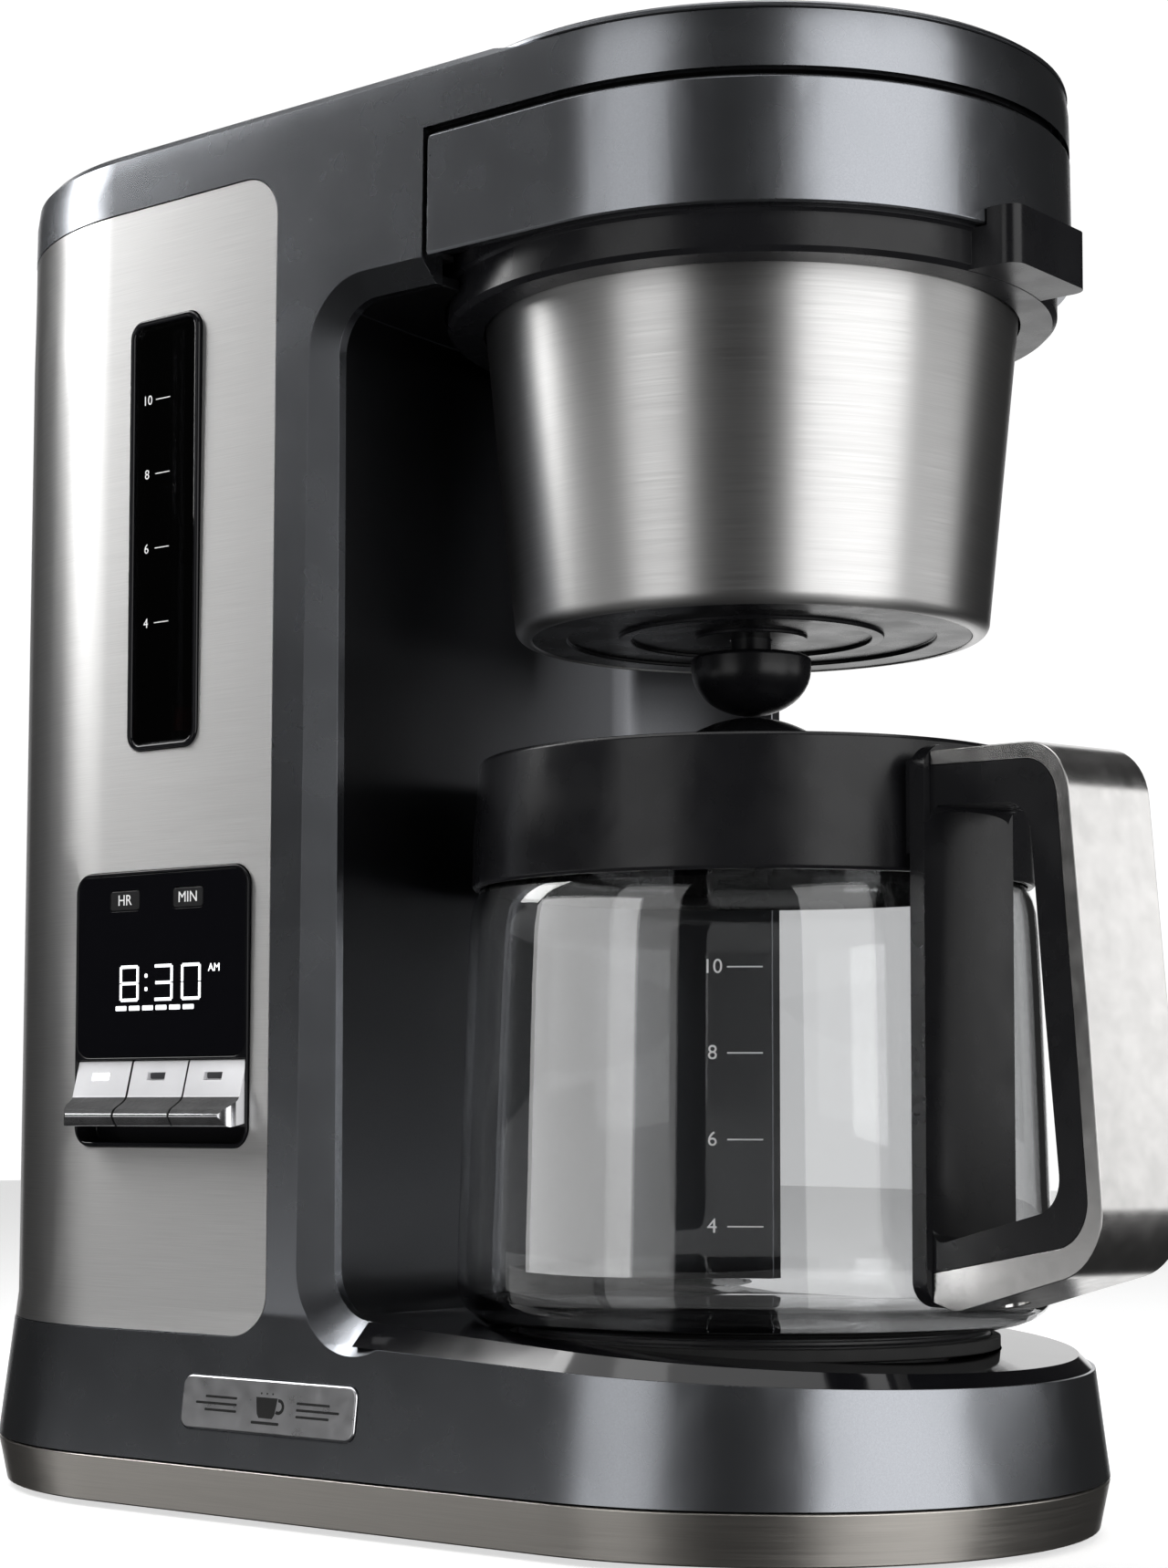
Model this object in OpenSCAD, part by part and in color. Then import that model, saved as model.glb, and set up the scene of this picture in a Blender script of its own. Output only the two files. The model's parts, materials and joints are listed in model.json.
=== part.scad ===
// Drip coffee maker: a column with the water tank, a head that reaches over the carafe,
// a sliding brew drawer and a warming base. Millimetres, +Z up.
// The origin is on the counter, under the middle of the base. +X points to the brew end,
// -Y is the side with the display.

/* [Body] */
// Distance between the axes of the two rounded ends
axis_spacing = 148; // [140:1:156]
// Radius of the rounded ends at the top edge
top_r = 79.2; // [78:0.1:80]
// Height of the top face above the counter
body_h = 352.8; // [351:0.1:356]
// Wall thickness of the housing
wall = 2.6; // [2:0.1:3]

/* [Base] */
// Gap between the counter and the trim ring
foot_gap = 1.5; // [1:0.1:2]
// Radius of the trim ring at its top edge
trim_r = 86; // [85:0.1:88]
// Height of the top edge of the trim ring
trim_top = 13.5; // [12:0.1:14]
// Height of the deck's edge under the brew axis
deck_edge_z = 42.6; // [42:0.1:43]
// Fall of the deck towards the brew end, in degrees
deck_tilt = 2.3; // [2:0.1:2.5]
// Fall of the deck's top face, in degrees
deck_top_tilt = 3.4; // [3:0.1:3.6]
// Height of the warming plate's top face
plate_z = 48.7; // [48.5:0.1:49]

/* [Brew bay] */
// Bay wall to the origin, at the front edge of the bay
bay_x = 2.5; // [2:0.1:3]
// Underside of the head
bay_top = 300.2; // [299:0.1:301]
// Inner corner radius of the bay
bay_r = 12.5; // [10:0.5:14]
// Width of the bevel around the bay
bevel = 5.5; // [4:0.5:6]

/* [Brew drawer] */
// Lower edge of the drawer's front band
band_z0 = 305.7; // [305:0.1:306]
// Upper edge of the drawer's front band
band_z1 = 335.4; // [334:0.1:336]
// Gap between the band and the housing
band_gap = 1.6; // [1.2:0.1:2]
// Radius of the basket at its bottom edge
basket_r0 = 59; // [58:0.1:60]
// Radius of the basket at the collar
basket_r1 = 66.5; // [66:0.1:66.8]
// Bottom of the basket
basket_z0 = 218.4; // [218:0.1:219]

/* [Carafe] */
// Widest radius of the glass
glass_r = 73; // [72:0.1:73.4]
// Glass thickness
glass_wall = 2.2; // [2:0.1:2.6]
// Lower edge of the collar
collar_z0 = 155.8; // [155:0.1:156.5]
// Upper edge of the collar
collar_z1 = 187.3; // [187:0.1:188]
// Direction of the handle about the brew axis, in degrees
handle_angle = -15; // [-20:1:-10]
// Width of the handle
handle_w = 25; // [22:0.5:26]

/* [Controls] */
// Left edge of the display bezel
bezel_x0 = -83.4; // [-84:0.1:-83]
// Right edge of the display bezel
bezel_x1 = -21; // [-22:0.1:-20]
// Lower edge of the display bezel
bezel_z0 = 91.9; // [91:0.1:93]
// Upper edge of the display bezel
bezel_z1 = 162.3; // [162:0.1:164]
// How far the key ledge stands out of the bezel
ledge_out = 7.6; // [7:0.1:9]

/* [Hidden] */
$fn = 96;
brew_x = axis_spacing / 2;
col_x = -axis_spacing / 2;
far = 120;
fit_gap = 0.3;

// Outer side of the body, as radius and height: skirt, column and top edge
skirt_z = 44.5;
split_z = 45.2;
column_r = top_r + 2;
body_side = [
    [trim_r, trim_top + 0.5], [column_r + 0.9, skirt_z], [column_r, skirt_z + 7.5], [top_r + 0.6, band_z0],
    [top_r, body_h - 6.8], [top_r - 0.6, body_h - 2.2], [top_r - 2.6, body_h]
];
lid_z0 = body_h - 2;
lid_r = top_r - 0.3;
seam_z = band_z1 + band_gap + 0.1;
band_x0 = 35.5;
drawer_x0 = band_x0 - band_gap;

// Bay: corner centres, wall arc and the plane of the deck's edge
bay_corner_x = bay_x + bay_r;
bay_low_z = deck_edge_z + tan(deck_tilt) * (brew_x - bay_corner_x) + bay_r + bevel;
bay_y = top_r - 4.7;
bay_arc_r = 440;
bay_arc_x = bay_x + sqrt(bay_arc_r * bay_arc_r - bay_y * bay_y);
flange_y = bay_y - 2.5;

// Steel panel and the openings through it
panel_x1 = -14.2;
panel_z0 = 45.6;
panel_z1 = 336;
panel_r = 11;
window_x = -53.2;
window_w = 25.2;
window_z0 = 193.5;
window_z1 = 305.7;
face_y = -(top_r + 1);

// Drawer and basket
collar_r = 76;

// Screen at the back of the bay: its end, its extent in depth and the radius of its hollow
screen_x = 28;
screen_y0 = 40;
screen_y1 = 80;
screen_r = 89;

collar_low = 295.6;
collar_top = 309;
runner_y0 = 67;
runner_y1 = 70.4;
runner_x0 = -100;
runner_h = 6;
rail_x0 = col_x;
cup_z0 = 240;
valve_r = 5;
valve_low = 199.5;

// Radius of the warming plate
plate_r = 57;

// Water path: heater ring, riser over the head and the valve under the tank
heater_r = 44;
heater_z = plate_z - 5.8;
riser_r = 2.3;
riser_x = -12;
riser_y = 44;
riser_top = 341.8;
valve_x = -60;

// Carafe
glass_z0 = plate_z + fit_gap;
glass_top = collar_z1 - 3;
neck_r = 66.3;
dome_r = 29;
dome_top = 199;

// Keys
key_count = 3;
key_gap = 0.6;
key_z0 = 96.8;
key_z1 = 113.8;
key_margin = 0.9;
key_w = (bezel_x1 - bezel_x0 - 2 * key_margin - (key_count - 1) * key_gap) / key_count;
key_pivot_y = -70;
key_pivot_z = 103.2;
key_end_r = 4;
bezel_y = face_y - 1.2;
bezel_rim = 0.7;
clock_z = 154.9;
clock_w = 10.6;
clock_h = 5;
hour_x = -65.2;
minute_x = -42.2;

// Cord gland on the back of the skirt
gland_x = -60;
gland_y = 82;
gland_z = 30;

// Lid hinge
hinge_x = brew_x - lid_r - 1.7;
hinge_z = body_h + 0.1;
hinge_pin_r = 1;
hinge_r = 1.9;

// Helpers

// Height of the plane through the deck's edge at a distance x from the origin
function edge_z(x) = deck_edge_z + tan(deck_tilt) * (brew_x - x);

// A side profile moved inwards by d and closed to the axis, from height z0 up to z1
function solid_profile(d, z0, z1) = concat(
    [[0, z0], [body_side[0][0] - d, z0]],
    [for (p = body_side) if (p[1] > z0 && p[1] < z1) [p[0] - d, p[1]]],
    [[lookup(z1, [for (p = body_side) [p[1], p[0]]]) - d, z1], [0, z1]]
);

// Points of an outline whose corners [x, y, radius] are rounded by arcs
function unit(v) = v / norm(v);
function corner_arc(a, b, c, r, steps) =
    let (
        u = unit(a - b),
        w = unit(c - b),
        half = acos(max(-1, min(1, u * w))) / 2,
        centre = b + unit(u + w) * r / sin(half),
        from = b + u * r / tan(half) - centre,
        to = b + w * r / tan(half) - centre,
        a0 = atan2(from[1], from[0]),
        turn = atan2(from[0] * to[1] - from[1] * to[0], from * to)
    )
    [for (i = [0:steps]) centre + r * [cos(a0 + turn * i / steps), sin(a0 + turn * i / steps)]];
function round_path(pts, steps = 8) = [
    for (i = [0:len(pts) - 1])
        let (
            n = len(pts),
            a = pts[(i + n - 1) % n],
            b = pts[i],
            c = pts[(i + 1) % n]
        )
        each b[2] > 0
            ? corner_arc([a[0], a[1]], [b[0], b[1]], [c[0], c[1]], b[2], steps)
            : [[b[0], b[1]]]
];

module at_brew() translate([brew_x, 0, 0]) children();

// Revolves a profile at both ends and runs it straight between them
module sweep(pts) {
    translate([brew_x, 0, 0]) rotate([0, 0, -90]) rotate_extrude(angle = 180) polygon(pts);
    translate([col_x, 0, 0]) rotate([0, 0, 90]) rotate_extrude(angle = 180) polygon(pts);
    translate([col_x, 0, 0]) rotate([90, 0, 90]) linear_extrude(axis_spacing) {
        polygon(pts);
        mirror([1, 0]) polygon(pts);
    }
}

// A vertical slab with rounded ends
module stadium(r, z0, z1, x0 = col_x, x1 = brew_x) {
    translate([0, 0, z0]) linear_extrude(z1 - z0) {
        translate([x0, 0]) circle(r);
        translate([x1, 0]) circle(r);
        translate([x0, -r]) square([x1 - x0, 2 * r]);
    }
}

// An outline in X and Z, run along Y from y0 to y1
module along_y(y0, y1) {
    translate([0, y1, 0]) rotate([90, 0, 0]) linear_extrude(y1 - y0) children();
}

module rounded_rect(x0, z0, x1, z1, r) {
    translate([x0 + r, z0]) square([x1 - x0 - 2 * r, z1 - z0]);
    translate([x0, z0 + r]) square([x1 - x0, z1 - z0 - 2 * r]);
    for (x = [x0 + r, x1 - r], z = [z0 + r, z1 - r])
        translate([x, z]) circle(r);
}

module ring(r_in, r_out, z0, z1) {
    translate([0, 0, z0]) difference() {
        cylinder(r = r_out, h = z1 - z0);
        translate([0, 0, -1]) cylinder(r = r_in, h = z1 - z0 + 2);
    }
}

// A bar with round ends between two points
module rod(a, b, r) {
    d = b - a;
    translate(a) rotate([0, acos(d[2] / norm(d)), atan2(d[1], d[0])]) cylinder(r = r, h = norm(d));
}

// The space of the brew bay, open to the front, the back and the brew end
module bay_core() {
    along_y(-far, far) {
        translate([bay_corner_x, bay_low_z - bay_r]) square([far * 2, bay_top - bay_low_z + bay_r]);
        translate([bay_x, bay_low_z]) square([far * 2, bay_top - bay_low_z - bay_r]);
        translate([bay_corner_x, bay_low_z]) circle(bay_r);
        translate([bay_corner_x, bay_top - bay_r]) circle(bay_r);
    }
    along_y(-far, far) polygon([
        [bay_corner_x, edge_z(bay_corner_x)], [bay_x + 2 * far, edge_z(bay_x + 2 * far)],
        [bay_x + 2 * far, bay_low_z + 1], [bay_corner_x, bay_low_z + 1]
    ]);
}

// The bevel that widens the bay towards one face, at 45 degrees
module bay_flare() {
    reach = 20;
    for (z = [bay_low_z, bay_top - bay_r])
        translate([bay_corner_x, -bay_y, z]) rotate([90, 0, 0])
            cylinder(r1 = bay_r, r2 = bay_r + reach, h = reach);
    translate([0, 0, bay_low_z]) linear_extrude(bay_top - bay_r - bay_low_z) polygon([
        [bay_x, -bay_y], [bay_x - reach, -bay_y - reach], [bay_x + far, -bay_y - reach], [bay_x + far, -bay_y]
    ]);
    translate([bay_corner_x, 0, 0]) rotate([90, 0, 90]) linear_extrude(2 * far) polygon([
        [-bay_y, bay_top], [-bay_y - reach, bay_top + reach], [-bay_y - reach, bay_low_z], [-bay_y, bay_low_z]
    ]);
}

module bay_space() {
    bay_core();
    bay_flare();
    mirror([0, 1, 0]) bay_flare();
}

// The steel panel's outline, seen from the front; it runs around the rounded end
module panel_outline(grow) {
    rounded_rect(-2 * far, panel_z0 - grow, panel_x1 + grow, panel_z1 + grow, panel_r + grow);
}

module window_outline(grow) {
    rounded_rect(window_x - window_w / 2 - grow, window_z0 - grow, window_x + window_w / 2 + grow,
        window_z1 + grow, 4.5 + grow);
}

module bezel_outline(grow) {
    rounded_rect(bezel_x0 - grow, bezel_z0 - grow, bezel_x1 + grow, bezel_z1 + grow, 5 + grow);
}

// The deck in its tilted plane, with a plug that sits inside the skirt
module deck_block() {
    translate([brew_x, 0, deck_edge_z]) rotate([0, deck_tilt, 0]) {
        r0 = column_r + 0.8;
        r1 = r0 - bevel - 0.4;
        cylinder(r1 = r0, r2 = r1, h = bevel);
        translate([-axis_spacing, 0, 0]) rotate([90, 0, 90]) linear_extrude(axis_spacing)
            polygon([[-r0, 0], [r0, 0], [r1, bevel], [-r1, bevel]]);
        r2 = top_r;
        translate([0, 0, -3]) cylinder(r = r2, h = 3.1);
        translate([-axis_spacing, -r2, -3]) cube([axis_spacing, 2 * r2, 3.1]);
    }
}

// Housing and base

// The strip of wall that backs the bevel, at the front and at the back
module bay_flanges() {
    for (side = [0, 1]) mirror([0, side, 0])
        along_y(-top_r - 4, -flange_y) difference() {
            translate([bay_x - 13, 30]) square([drawer_x0 - bay_x + 13, band_z0 - 20]);
            translate([bay_corner_x + 12, 20]) square([far, edge_z(bay_corner_x) - 3]);
        }
}

module housing_shell() {
    difference() {
        sweep(solid_profile(0, trim_top + 0.5, body_h));
        sweep(solid_profile(wall, trim_top - 3, body_h - wall));
    }
    intersection() {
        sweep(solid_profile(0.5, trim_top + 0.5, body_h - 1));
        bay_flanges();
    }
    at_brew() ring(lid_r - 6.4, top_r - 1.2, lid_z0 - 4.2, lid_z0 - 0.2);
}

// The housing is moulded in three parts, each a slice of one form: the skirt of the base,
// the column with the sides of the arch, and the cap of the head
module housing_slice(z0, z1) {
    color([0.25, 0.26, 0.28]) difference() {
        intersection() {
            housing_shell();
            translate([-2 * far, -far, z0]) cube([4 * far, 2 * far, z1 - z0]);
        }
        housing_cuts();
    }
}

module base_skirt() housing_slice(0, split_z);
module column_shell() housing_slice(split_z, seam_z);
module head_cap() housing_slice(seam_z, body_h + 1);

// Everything that is cut out of the housing
module housing_cuts() {
    union() {
        bay_space();
        // opening of the brew drawer
        translate([drawer_x0, -far, bay_top - 1]) cube([far * 2, 2 * far, seam_z - bay_top + 1]);
        // recess of the steel panel
        intersection() {
            difference() {
                sweep(solid_profile(-3, trim_top + 1, body_h - 3));
                sweep(solid_profile(1.1, trim_top, body_h - 2.5));
            }
            along_y(-far, far) panel_outline(0.25);
        }
        along_y(-far, -far / 2) window_outline(0.2);
        along_y(-far, -far / 2) bezel_outline(0.2);
        // seat, well and hinge pocket of the top lid
        at_brew() translate([0, 0, lid_z0 - 0.2]) cylinder(r = lid_r + 0.35, h = 10);
        at_brew() translate([0, 0, lid_z0 - 10]) cylinder(r = lid_r - 6.4, h = 20);
        translate([hinge_x - 3.2, -21, lid_z0 - 0.2]) cube([8, 42, 10]);
        // pocket of the badge and hole of the cord gland
        badge_place() translate([0, 0, -0.9]) linear_extrude(6)
            rounded_rect(-badge_w / 2 - 0.4, -badge_h / 2 - 0.4, badge_w / 2 + 0.4, badge_h / 2 + 0.4, 3.2);
        translate([gland_x, far, gland_z]) rotate([90, 0, 0]) cylinder(r = 5.5, h = far);
        translate([gland_x, far, gland_z]) rotate([90, 0, 0]) cylinder(r = 8.8, h = far - gland_y);
    }
}

module base_trim_ring() {
    color([0.72, 0.70, 0.67]) difference() {
        sweep([[0, foot_gap], [trim_r - 2.5, foot_gap], [trim_r, trim_top], [0, trim_top]]);
        sweep([[0, foot_gap - 1], [trim_r - 4.2, foot_gap - 1], [trim_r - 1.5, trim_top + 1], [0, trim_top + 1]]);
    }
}

module bottom_cover() {
    cover_r = trim_r - 4.2;
    color([0.08, 0.08, 0.09]) difference() {
        union() {
            stadium(cover_r, 2.4, 4.8);
            difference() {
                stadium(cover_r - 1.5, 4.8, 14);
                stadium(cover_r - 3.5, 4, 15);
            }
            for (x = [col_x, brew_x], y = [-56, 56]) translate([x, y, 4.8]) cylinder(r = 4, h = 8);
        }
        for (x = [-44, -34, -24, 24, 34, 44]) translate([x - 2, -30, 0]) cube([4, 60, 8]);
        for (x = [col_x, brew_x], y = [-56, 56]) {
            translate([x, y, 0]) cylinder(r = 1.6, h = 20);
            translate([x, y, 0]) cylinder(r = 3.6, h = 4.2);
        }
    }
}

module feet() {
    // one foot near each corner and one in the middle
    color([0.05, 0.05, 0.05]) for (p = [[-52, -52], [-52, 52], [52, -52], [52, 52], [0, 0]])
        translate([p[0], p[1], 0]) {
            cylinder(r1 = 8.4, r2 = 9, h = 0.6);
            translate([0, 0, 0.6]) cylinder(r = 9, h = 1.8);
        }
}

module base_screws() {
    color([0.6, 0.6, 0.62]) for (x = [col_x, brew_x], y = [-56, 56]) translate([x, y, 0]) difference() {
        union() {
            translate([0, 0, 2.6]) cylinder(r = 3.2, h = 1.6);
            translate([0, 0, 4.2]) cylinder(r = 1.5, h = 9);
        }
        for (a = [0, 90]) rotate([0, 0, a]) translate([-2.2, -0.45, 2]) cube([4.4, 0.9, 1.5]);
    }
}

module deck() {
    seat_r = 66.5;
    color([0.03, 0.03, 0.035]) difference() {
        intersection() {
            deck_block();
            bay_outer_prism();
            // the corners of the bay are part of the column
            linear_extrude(2 * far) union() {
                translate([-far, -flange_y + 0.1]) square([2 * far, 2 * flange_y - 0.2]);
                translate([bay_corner_x + 0.1, -far]) square([far * 2, 2 * far]);
            }
        }
        bay_flanges_solid();
        translate([bay_corner_x, 0, edge_z(bay_corner_x) + bevel]) rotate([0, deck_top_tilt, 0])
            translate([-far, -far, 0]) cube([4 * far, 2 * far, far]);
        // seat of the carafe, with a sloping side that clears the glass
        at_brew() translate([0, 0, plate_z - 1]) cylinder(r1 = seat_r, r2 = seat_r + 12, h = 12);
        at_brew() cylinder(r = plate_r + 3.4, h = 80);
        bay_wall_block(0.1);
    }
}

// Everything to the brew side of the bay's outer outline
module bay_outer_prism() {
    along_y(-far, far) {
        translate([bay_corner_x, bay_low_z]) circle(bay_r + bevel);
        translate([bay_corner_x, 0]) square([2 * far, bay_low_z]);
        translate([bay_x - bevel, bay_low_z]) square([far, 60]);
    }
}

module bay_flanges_solid() {
    difference() {
        bay_flanges();
        bay_space();
    }
}

module warming_plate() {
    color([0.05, 0.05, 0.05]) at_brew() difference() {
        union() {
            translate([0, 0, plate_z - 1.2]) cylinder(r = plate_r, h = 1.2);
            translate([0, 0, plate_z - 5]) cylinder(r = plate_r + 0.8, h = 3.9);
        }
        translate([0, 0, plate_z - 6]) cylinder(r = plate_r - 1, h = 4.6);
    }
}

module plate_seal() {
    color([0.1, 0.1, 0.1]) at_brew() ring(plate_r + 1, plate_r + 3.2, plate_z - 4.6, plate_z - 1.6);
}

module plate_heater() {
    color([0.7, 0.7, 0.72]) at_brew() {
        rotate([0, 0, 200]) rotate_extrude(angle = 320) translate([heater_r, heater_z]) circle(4.2, $fn = 48);
        translate([0, 0, plate_z - 2.4]) cylinder(r = plate_r - 1.5, h = 0.8);
    }
}

module thermostat() {
    color([0.8, 0.78, 0.7]) at_brew() translate([12, 0, plate_z - 12.4]) {
        cylinder(r = 8, h = 10);
        translate([-14, -2.5, 3]) cube([28, 5, 0.8]);
    }
}

module steel_panel() {
    color([0.72, 0.72, 0.73]) intersection() {
        difference() {
            sweep(solid_profile(0.15, trim_top + 1, body_h - 3));
            sweep(solid_profile(1, trim_top, body_h - 2));
        }
        difference() {
            along_y(-far, far) panel_outline(0);
            along_y(-far, -far / 2) window_outline(0.2);
            along_y(-far, -far / 2) bezel_outline(0.2);
        }
    }
}

// The curved wall between the column and the bay, grown by a clearance
module bay_wall_block(grow) {
    z0 = 40;
    difference() {
        translate([bay_x - 9.4 - grow, -flange_y + 0.1 - grow, z0])
            cube([drawer_x0 - 0.3 - bay_x + 9.4, 2 * (flange_y - 0.1 + grow), bay_top + 2.6 - z0]);
        translate([bay_arc_x, 0, 0]) cylinder(r = bay_arc_r - grow, h = bay_top, $fn = 400);
    }
}

// The wall's screen at the back of the bay, hollowed around the carafe; its outer part stands
// clear of the rounded corners of the arch
module rear_screen() {
    low = bay_low_z - bay_r + 1.4;
    high = bay_top - 0.5;
    difference() {
        union() {
            translate([bay_x - 4, screen_y0, low])
                cube([screen_x - bay_x + 4, flange_y - 0.1 - screen_y0, high - low]);
            translate([bay_x + 0.4, flange_y - 1, bay_low_z])
                cube([bay_r + 2, screen_y1 - flange_y + 1, bay_top - bay_r - bay_low_z]);
            translate([bay_corner_x + 0.5, flange_y - 1, low])
                cube([screen_x - bay_corner_x - 0.5, screen_y1 - flange_y + 1, high - low]);
        }
        translate([brew_x, 0, 0]) cylinder(r = screen_r, h = 3 * far, $fn = 400);
    }
}

module bay_liner() {
    color([0.10, 0.10, 0.115]) difference() {
        union() {
            bay_wall_block(0);
            rear_screen();
        }
        translate([bay_x - far, -far, 0]) cube([far - 9.5, 2 * far, 2 * far * 2]);
        at_brew() translate([0, 0, bay_top - 8]) cylinder(r = collar_r + 0.9, h = 20);
        translate([brew_x, -collar_r - 0.9, bay_top - 8]) cube([far, 2 * collar_r + 1.8, 20]);
        // hollow behind the wall
        difference() {
            translate([bay_x - 12, -flange_y + 6, 30]) cube([18, 2 * flange_y - 12, bay_top - 30]);
            translate([bay_arc_x, 0, 0]) cylinder(r = bay_arc_r + 2.4, h = 2 * far * 2, $fn = 400);
        }
    }
}

// Window and water parts

module window_frame() {
    color([0.02, 0.02, 0.02]) difference() {
        along_y(face_y - 0.7, face_y + 5) window_outline(0);
        along_y(face_y - 2, face_y + 8) window_outline(-1.5);
    }
}

module window_lens() {
    color([0.1, 0.1, 0.11, 0.6]) along_y(face_y + 0.1, face_y + 2) window_outline(-1.7);
}

module gauge_tube() {
    color([0.8, 0.85, 0.9, 0.4]) translate([window_x, face_y + 9.6, 0]) difference() {
        translate([0, 0, window_z0 + 3]) cylinder(r = 5, h = window_z1 - window_z0 - 6);
        translate([0, 0, window_z0 + 5]) cylinder(r = 3.9, h = window_z1 - window_z0 - 5);
    }
}

module gauge_float() {
    color([0.85, 0.2, 0.15]) translate([window_x, face_y + 9.6, window_z0 + 5.2]) cylinder(r = 3.4, h = 6);
}

module water_tank() {
    x0 = -138;
    x1 = -22;
    y0 = -62;
    y1 = 62;
    z0 = 196;
    z1 = 336;
    color([0.75, 0.8, 0.85, 0.5]) difference() {
        translate([0, 0, z0]) linear_extrude(z1 - z0) rounded_rect(x0, y0, x1, y1, 40);
        translate([0, 0, z0 + 2.5]) linear_extrude(z1 - z0)
            rounded_rect(x0 + 2.2, y0 + 2.2, x1 - 2.2, y1 - 2.2, 37.8);
        translate([valve_x, 0, z0 - 1]) cylinder(r = 6, h = 6);
    }
}

module check_valve() {
    color([0.9, 0.9, 0.88]) translate([valve_x, 0, 0]) difference() {
        union() {
            translate([0, 0, 178]) cylinder(r = 5.8, h = 17.9);
            translate([0, 0, 192.6]) cylinder(r = 10, h = 3.3);
            translate([0, 0, 168]) cylinder(r = 4, h = 12);
        }
        translate([0, 0, 160]) cylinder(r = 2.4, h = 40);
    }
}

// A round tube along a list of points, with a ball-shaped elbow at each bend
module tube_run(points, r) {
    elbow_r = r + 0.3;
    for (i = [0:len(points) - 2]) rod(points[i], points[i + 1], r);
    for (i = [1:len(points) - 2]) translate(points[i]) sphere(elbow_r);
}

module riser_tube() {
    color([0.85, 0.85, 0.82]) tube_run([
        [31.5, 11.6, heater_z], [24, 20, 34], [riser_x, riser_y, 34], [riser_x, riser_y, riser_top],
        [brew_x, 0, riser_top], [brew_x, 0, seam_z - 1]
    ], riser_r);
}

module feed_tube() {
    color([0.85, 0.85, 0.82]) tube_run([
        [31.5, -11.6, heater_z], [24, -20, 30], [valve_x, 0, 30], [valve_x, 0, 167.9]
    ], riser_r);
}

module head_plate() {
    color([0.05, 0.05, 0.055]) difference() {
        union() {
            at_brew() translate([0, 0, seam_z + 0.3]) cylinder(r = top_r - wall - 0.5, h = 1.7);
            translate([drawer_x0 - 26, -top_r + wall + 0.5, seam_z + 0.3])
                cube([brew_x - drawer_x0 + 26, 2 * (top_r - wall - 0.5), 1.7]);
        }
        at_brew() translate([0, 0, seam_z - 1]) cylinder(r = 12, h = 5);
    }
}

module shower_head() {
    holes = 8;
    color([0.12, 0.12, 0.13]) at_brew() difference() {
        union() {
            translate([0, 0, seam_z - 6.2]) cylinder(r = 38, h = 6.4);
            translate([0, 0, seam_z]) cylinder(r = 11.8, h = 2);
        }
        translate([0, 0, seam_z - 4.6]) cylinder(r = 36, h = 3.2);
        translate([0, 0, seam_z - 2]) cylinder(r = 4, h = 10);
        for (i = [0:holes - 1]) rotate([0, 0, i * 360 / holes])
            translate([25, 0, seam_z - 10]) cylinder(r = 1.6, h = 7);
        translate([0, 0, seam_z - 10]) cylinder(r = 1.6, h = 7);
    }
}

module fill_tray() {
    tray_r = lid_r - 6.9;
    floor_z = riser_top + riser_r + 0.5;
    floor_t = 1.3;
    chute_x = -44;
    color([0.07, 0.07, 0.075]) difference() {
        union() {
            at_brew() translate([0, 0, floor_z]) cylinder(r = tray_r, h = lid_z0 - 2.2 - floor_z);
            translate([chute_x, -20, floor_z - 4.4]) cube([54, 36, 6]);
        }
        at_brew() translate([0, 0, floor_z + floor_t]) cylinder(r = tray_r - 1.6, h = 10);
        // chute that leads the poured water over the tank
        translate([chute_x + 2, -18, floor_z - 2.8]) cube([55, 32, 5]);
        translate([chute_x + 2, -12, floor_z - 8]) cube([14, 20, 8]);
    }
}

module drawer_rails() {
    color([0.6, 0.6, 0.62]) for (side = [0, 1]) mirror([0, side, 0]) difference() {
        translate([rail_x0, runner_y0 - 0.4, collar_top - 1.8])
            cube([drawer_x0 - rail_x0 - 1, 5.1, runner_h + 3.6]);
        translate([rail_x0 - 1, runner_y0 - 2, collar_top - fit_gap])
            cube([drawer_x0 - rail_x0 + 2, runner_y1 + 2 + fit_gap - runner_y0, runner_h + 2 * fit_gap]);
    }
}

// Controls

module display_bezel() {
    color([0.02, 0.02, 0.02]) difference() {
        along_y(bezel_y, face_y + 8) bezel_outline(0);
        // seat of the lens
        along_y(bezel_y - 1, bezel_y + 2.2)
            rounded_rect(bezel_x0 + bezel_rim, key_z1 + 0.8, bezel_x1 - bezel_rim, bezel_z1 - bezel_rim, 4.3);
        along_y(bezel_y - 1, face_y + 10) rounded_rect(bezel_x0 + 4, key_z1 + 5, bezel_x1 - 4, bezel_z1 - 4, 2);
        // bay of the keys, closed at the back below them
        along_y(bezel_y - 1, face_y + 6)
            rounded_rect(bezel_x0 + bezel_rim, bezel_z0 + 1, bezel_x1 - bezel_rim, key_z1 + 0.2, 3.5);
        translate([bezel_x0 + bezel_rim, bezel_y - 1, key_z0 + 1.4])
            cube([bezel_x1 - bezel_x0 - 2 * bezel_rim, 14, key_z1 - key_z0 - 1.2]);
    }
}

module button_seat(x, grow) {
    along_y(bezel_y - 2, bezel_y + 6)
        rounded_rect(x - clock_w / 2 - grow, clock_z - clock_h / 2 - grow, x + clock_w / 2 + grow,
            clock_z + clock_h / 2 + grow, 0.8 + grow);
}

module display_lens() {
    color([0.01, 0.01, 0.012, 0.9]) difference() {
        along_y(bezel_y + 0.1, bezel_y + 2)
            rounded_rect(bezel_x0 + bezel_rim + 0.2, key_z1 + 1, bezel_x1 - bezel_rim - 0.2,
                bezel_z1 - bezel_rim - 0.2, 4.1);
        button_seat(hour_x, 0.25);
        button_seat(minute_x, 0.25);
    }
}

module display_module() {
    color([0.05, 0.07, 0.06]) translate([bezel_x0 + 12, bezel_y + 2.4, 121]) cube([46, 2.6, 27]);
}

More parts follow.
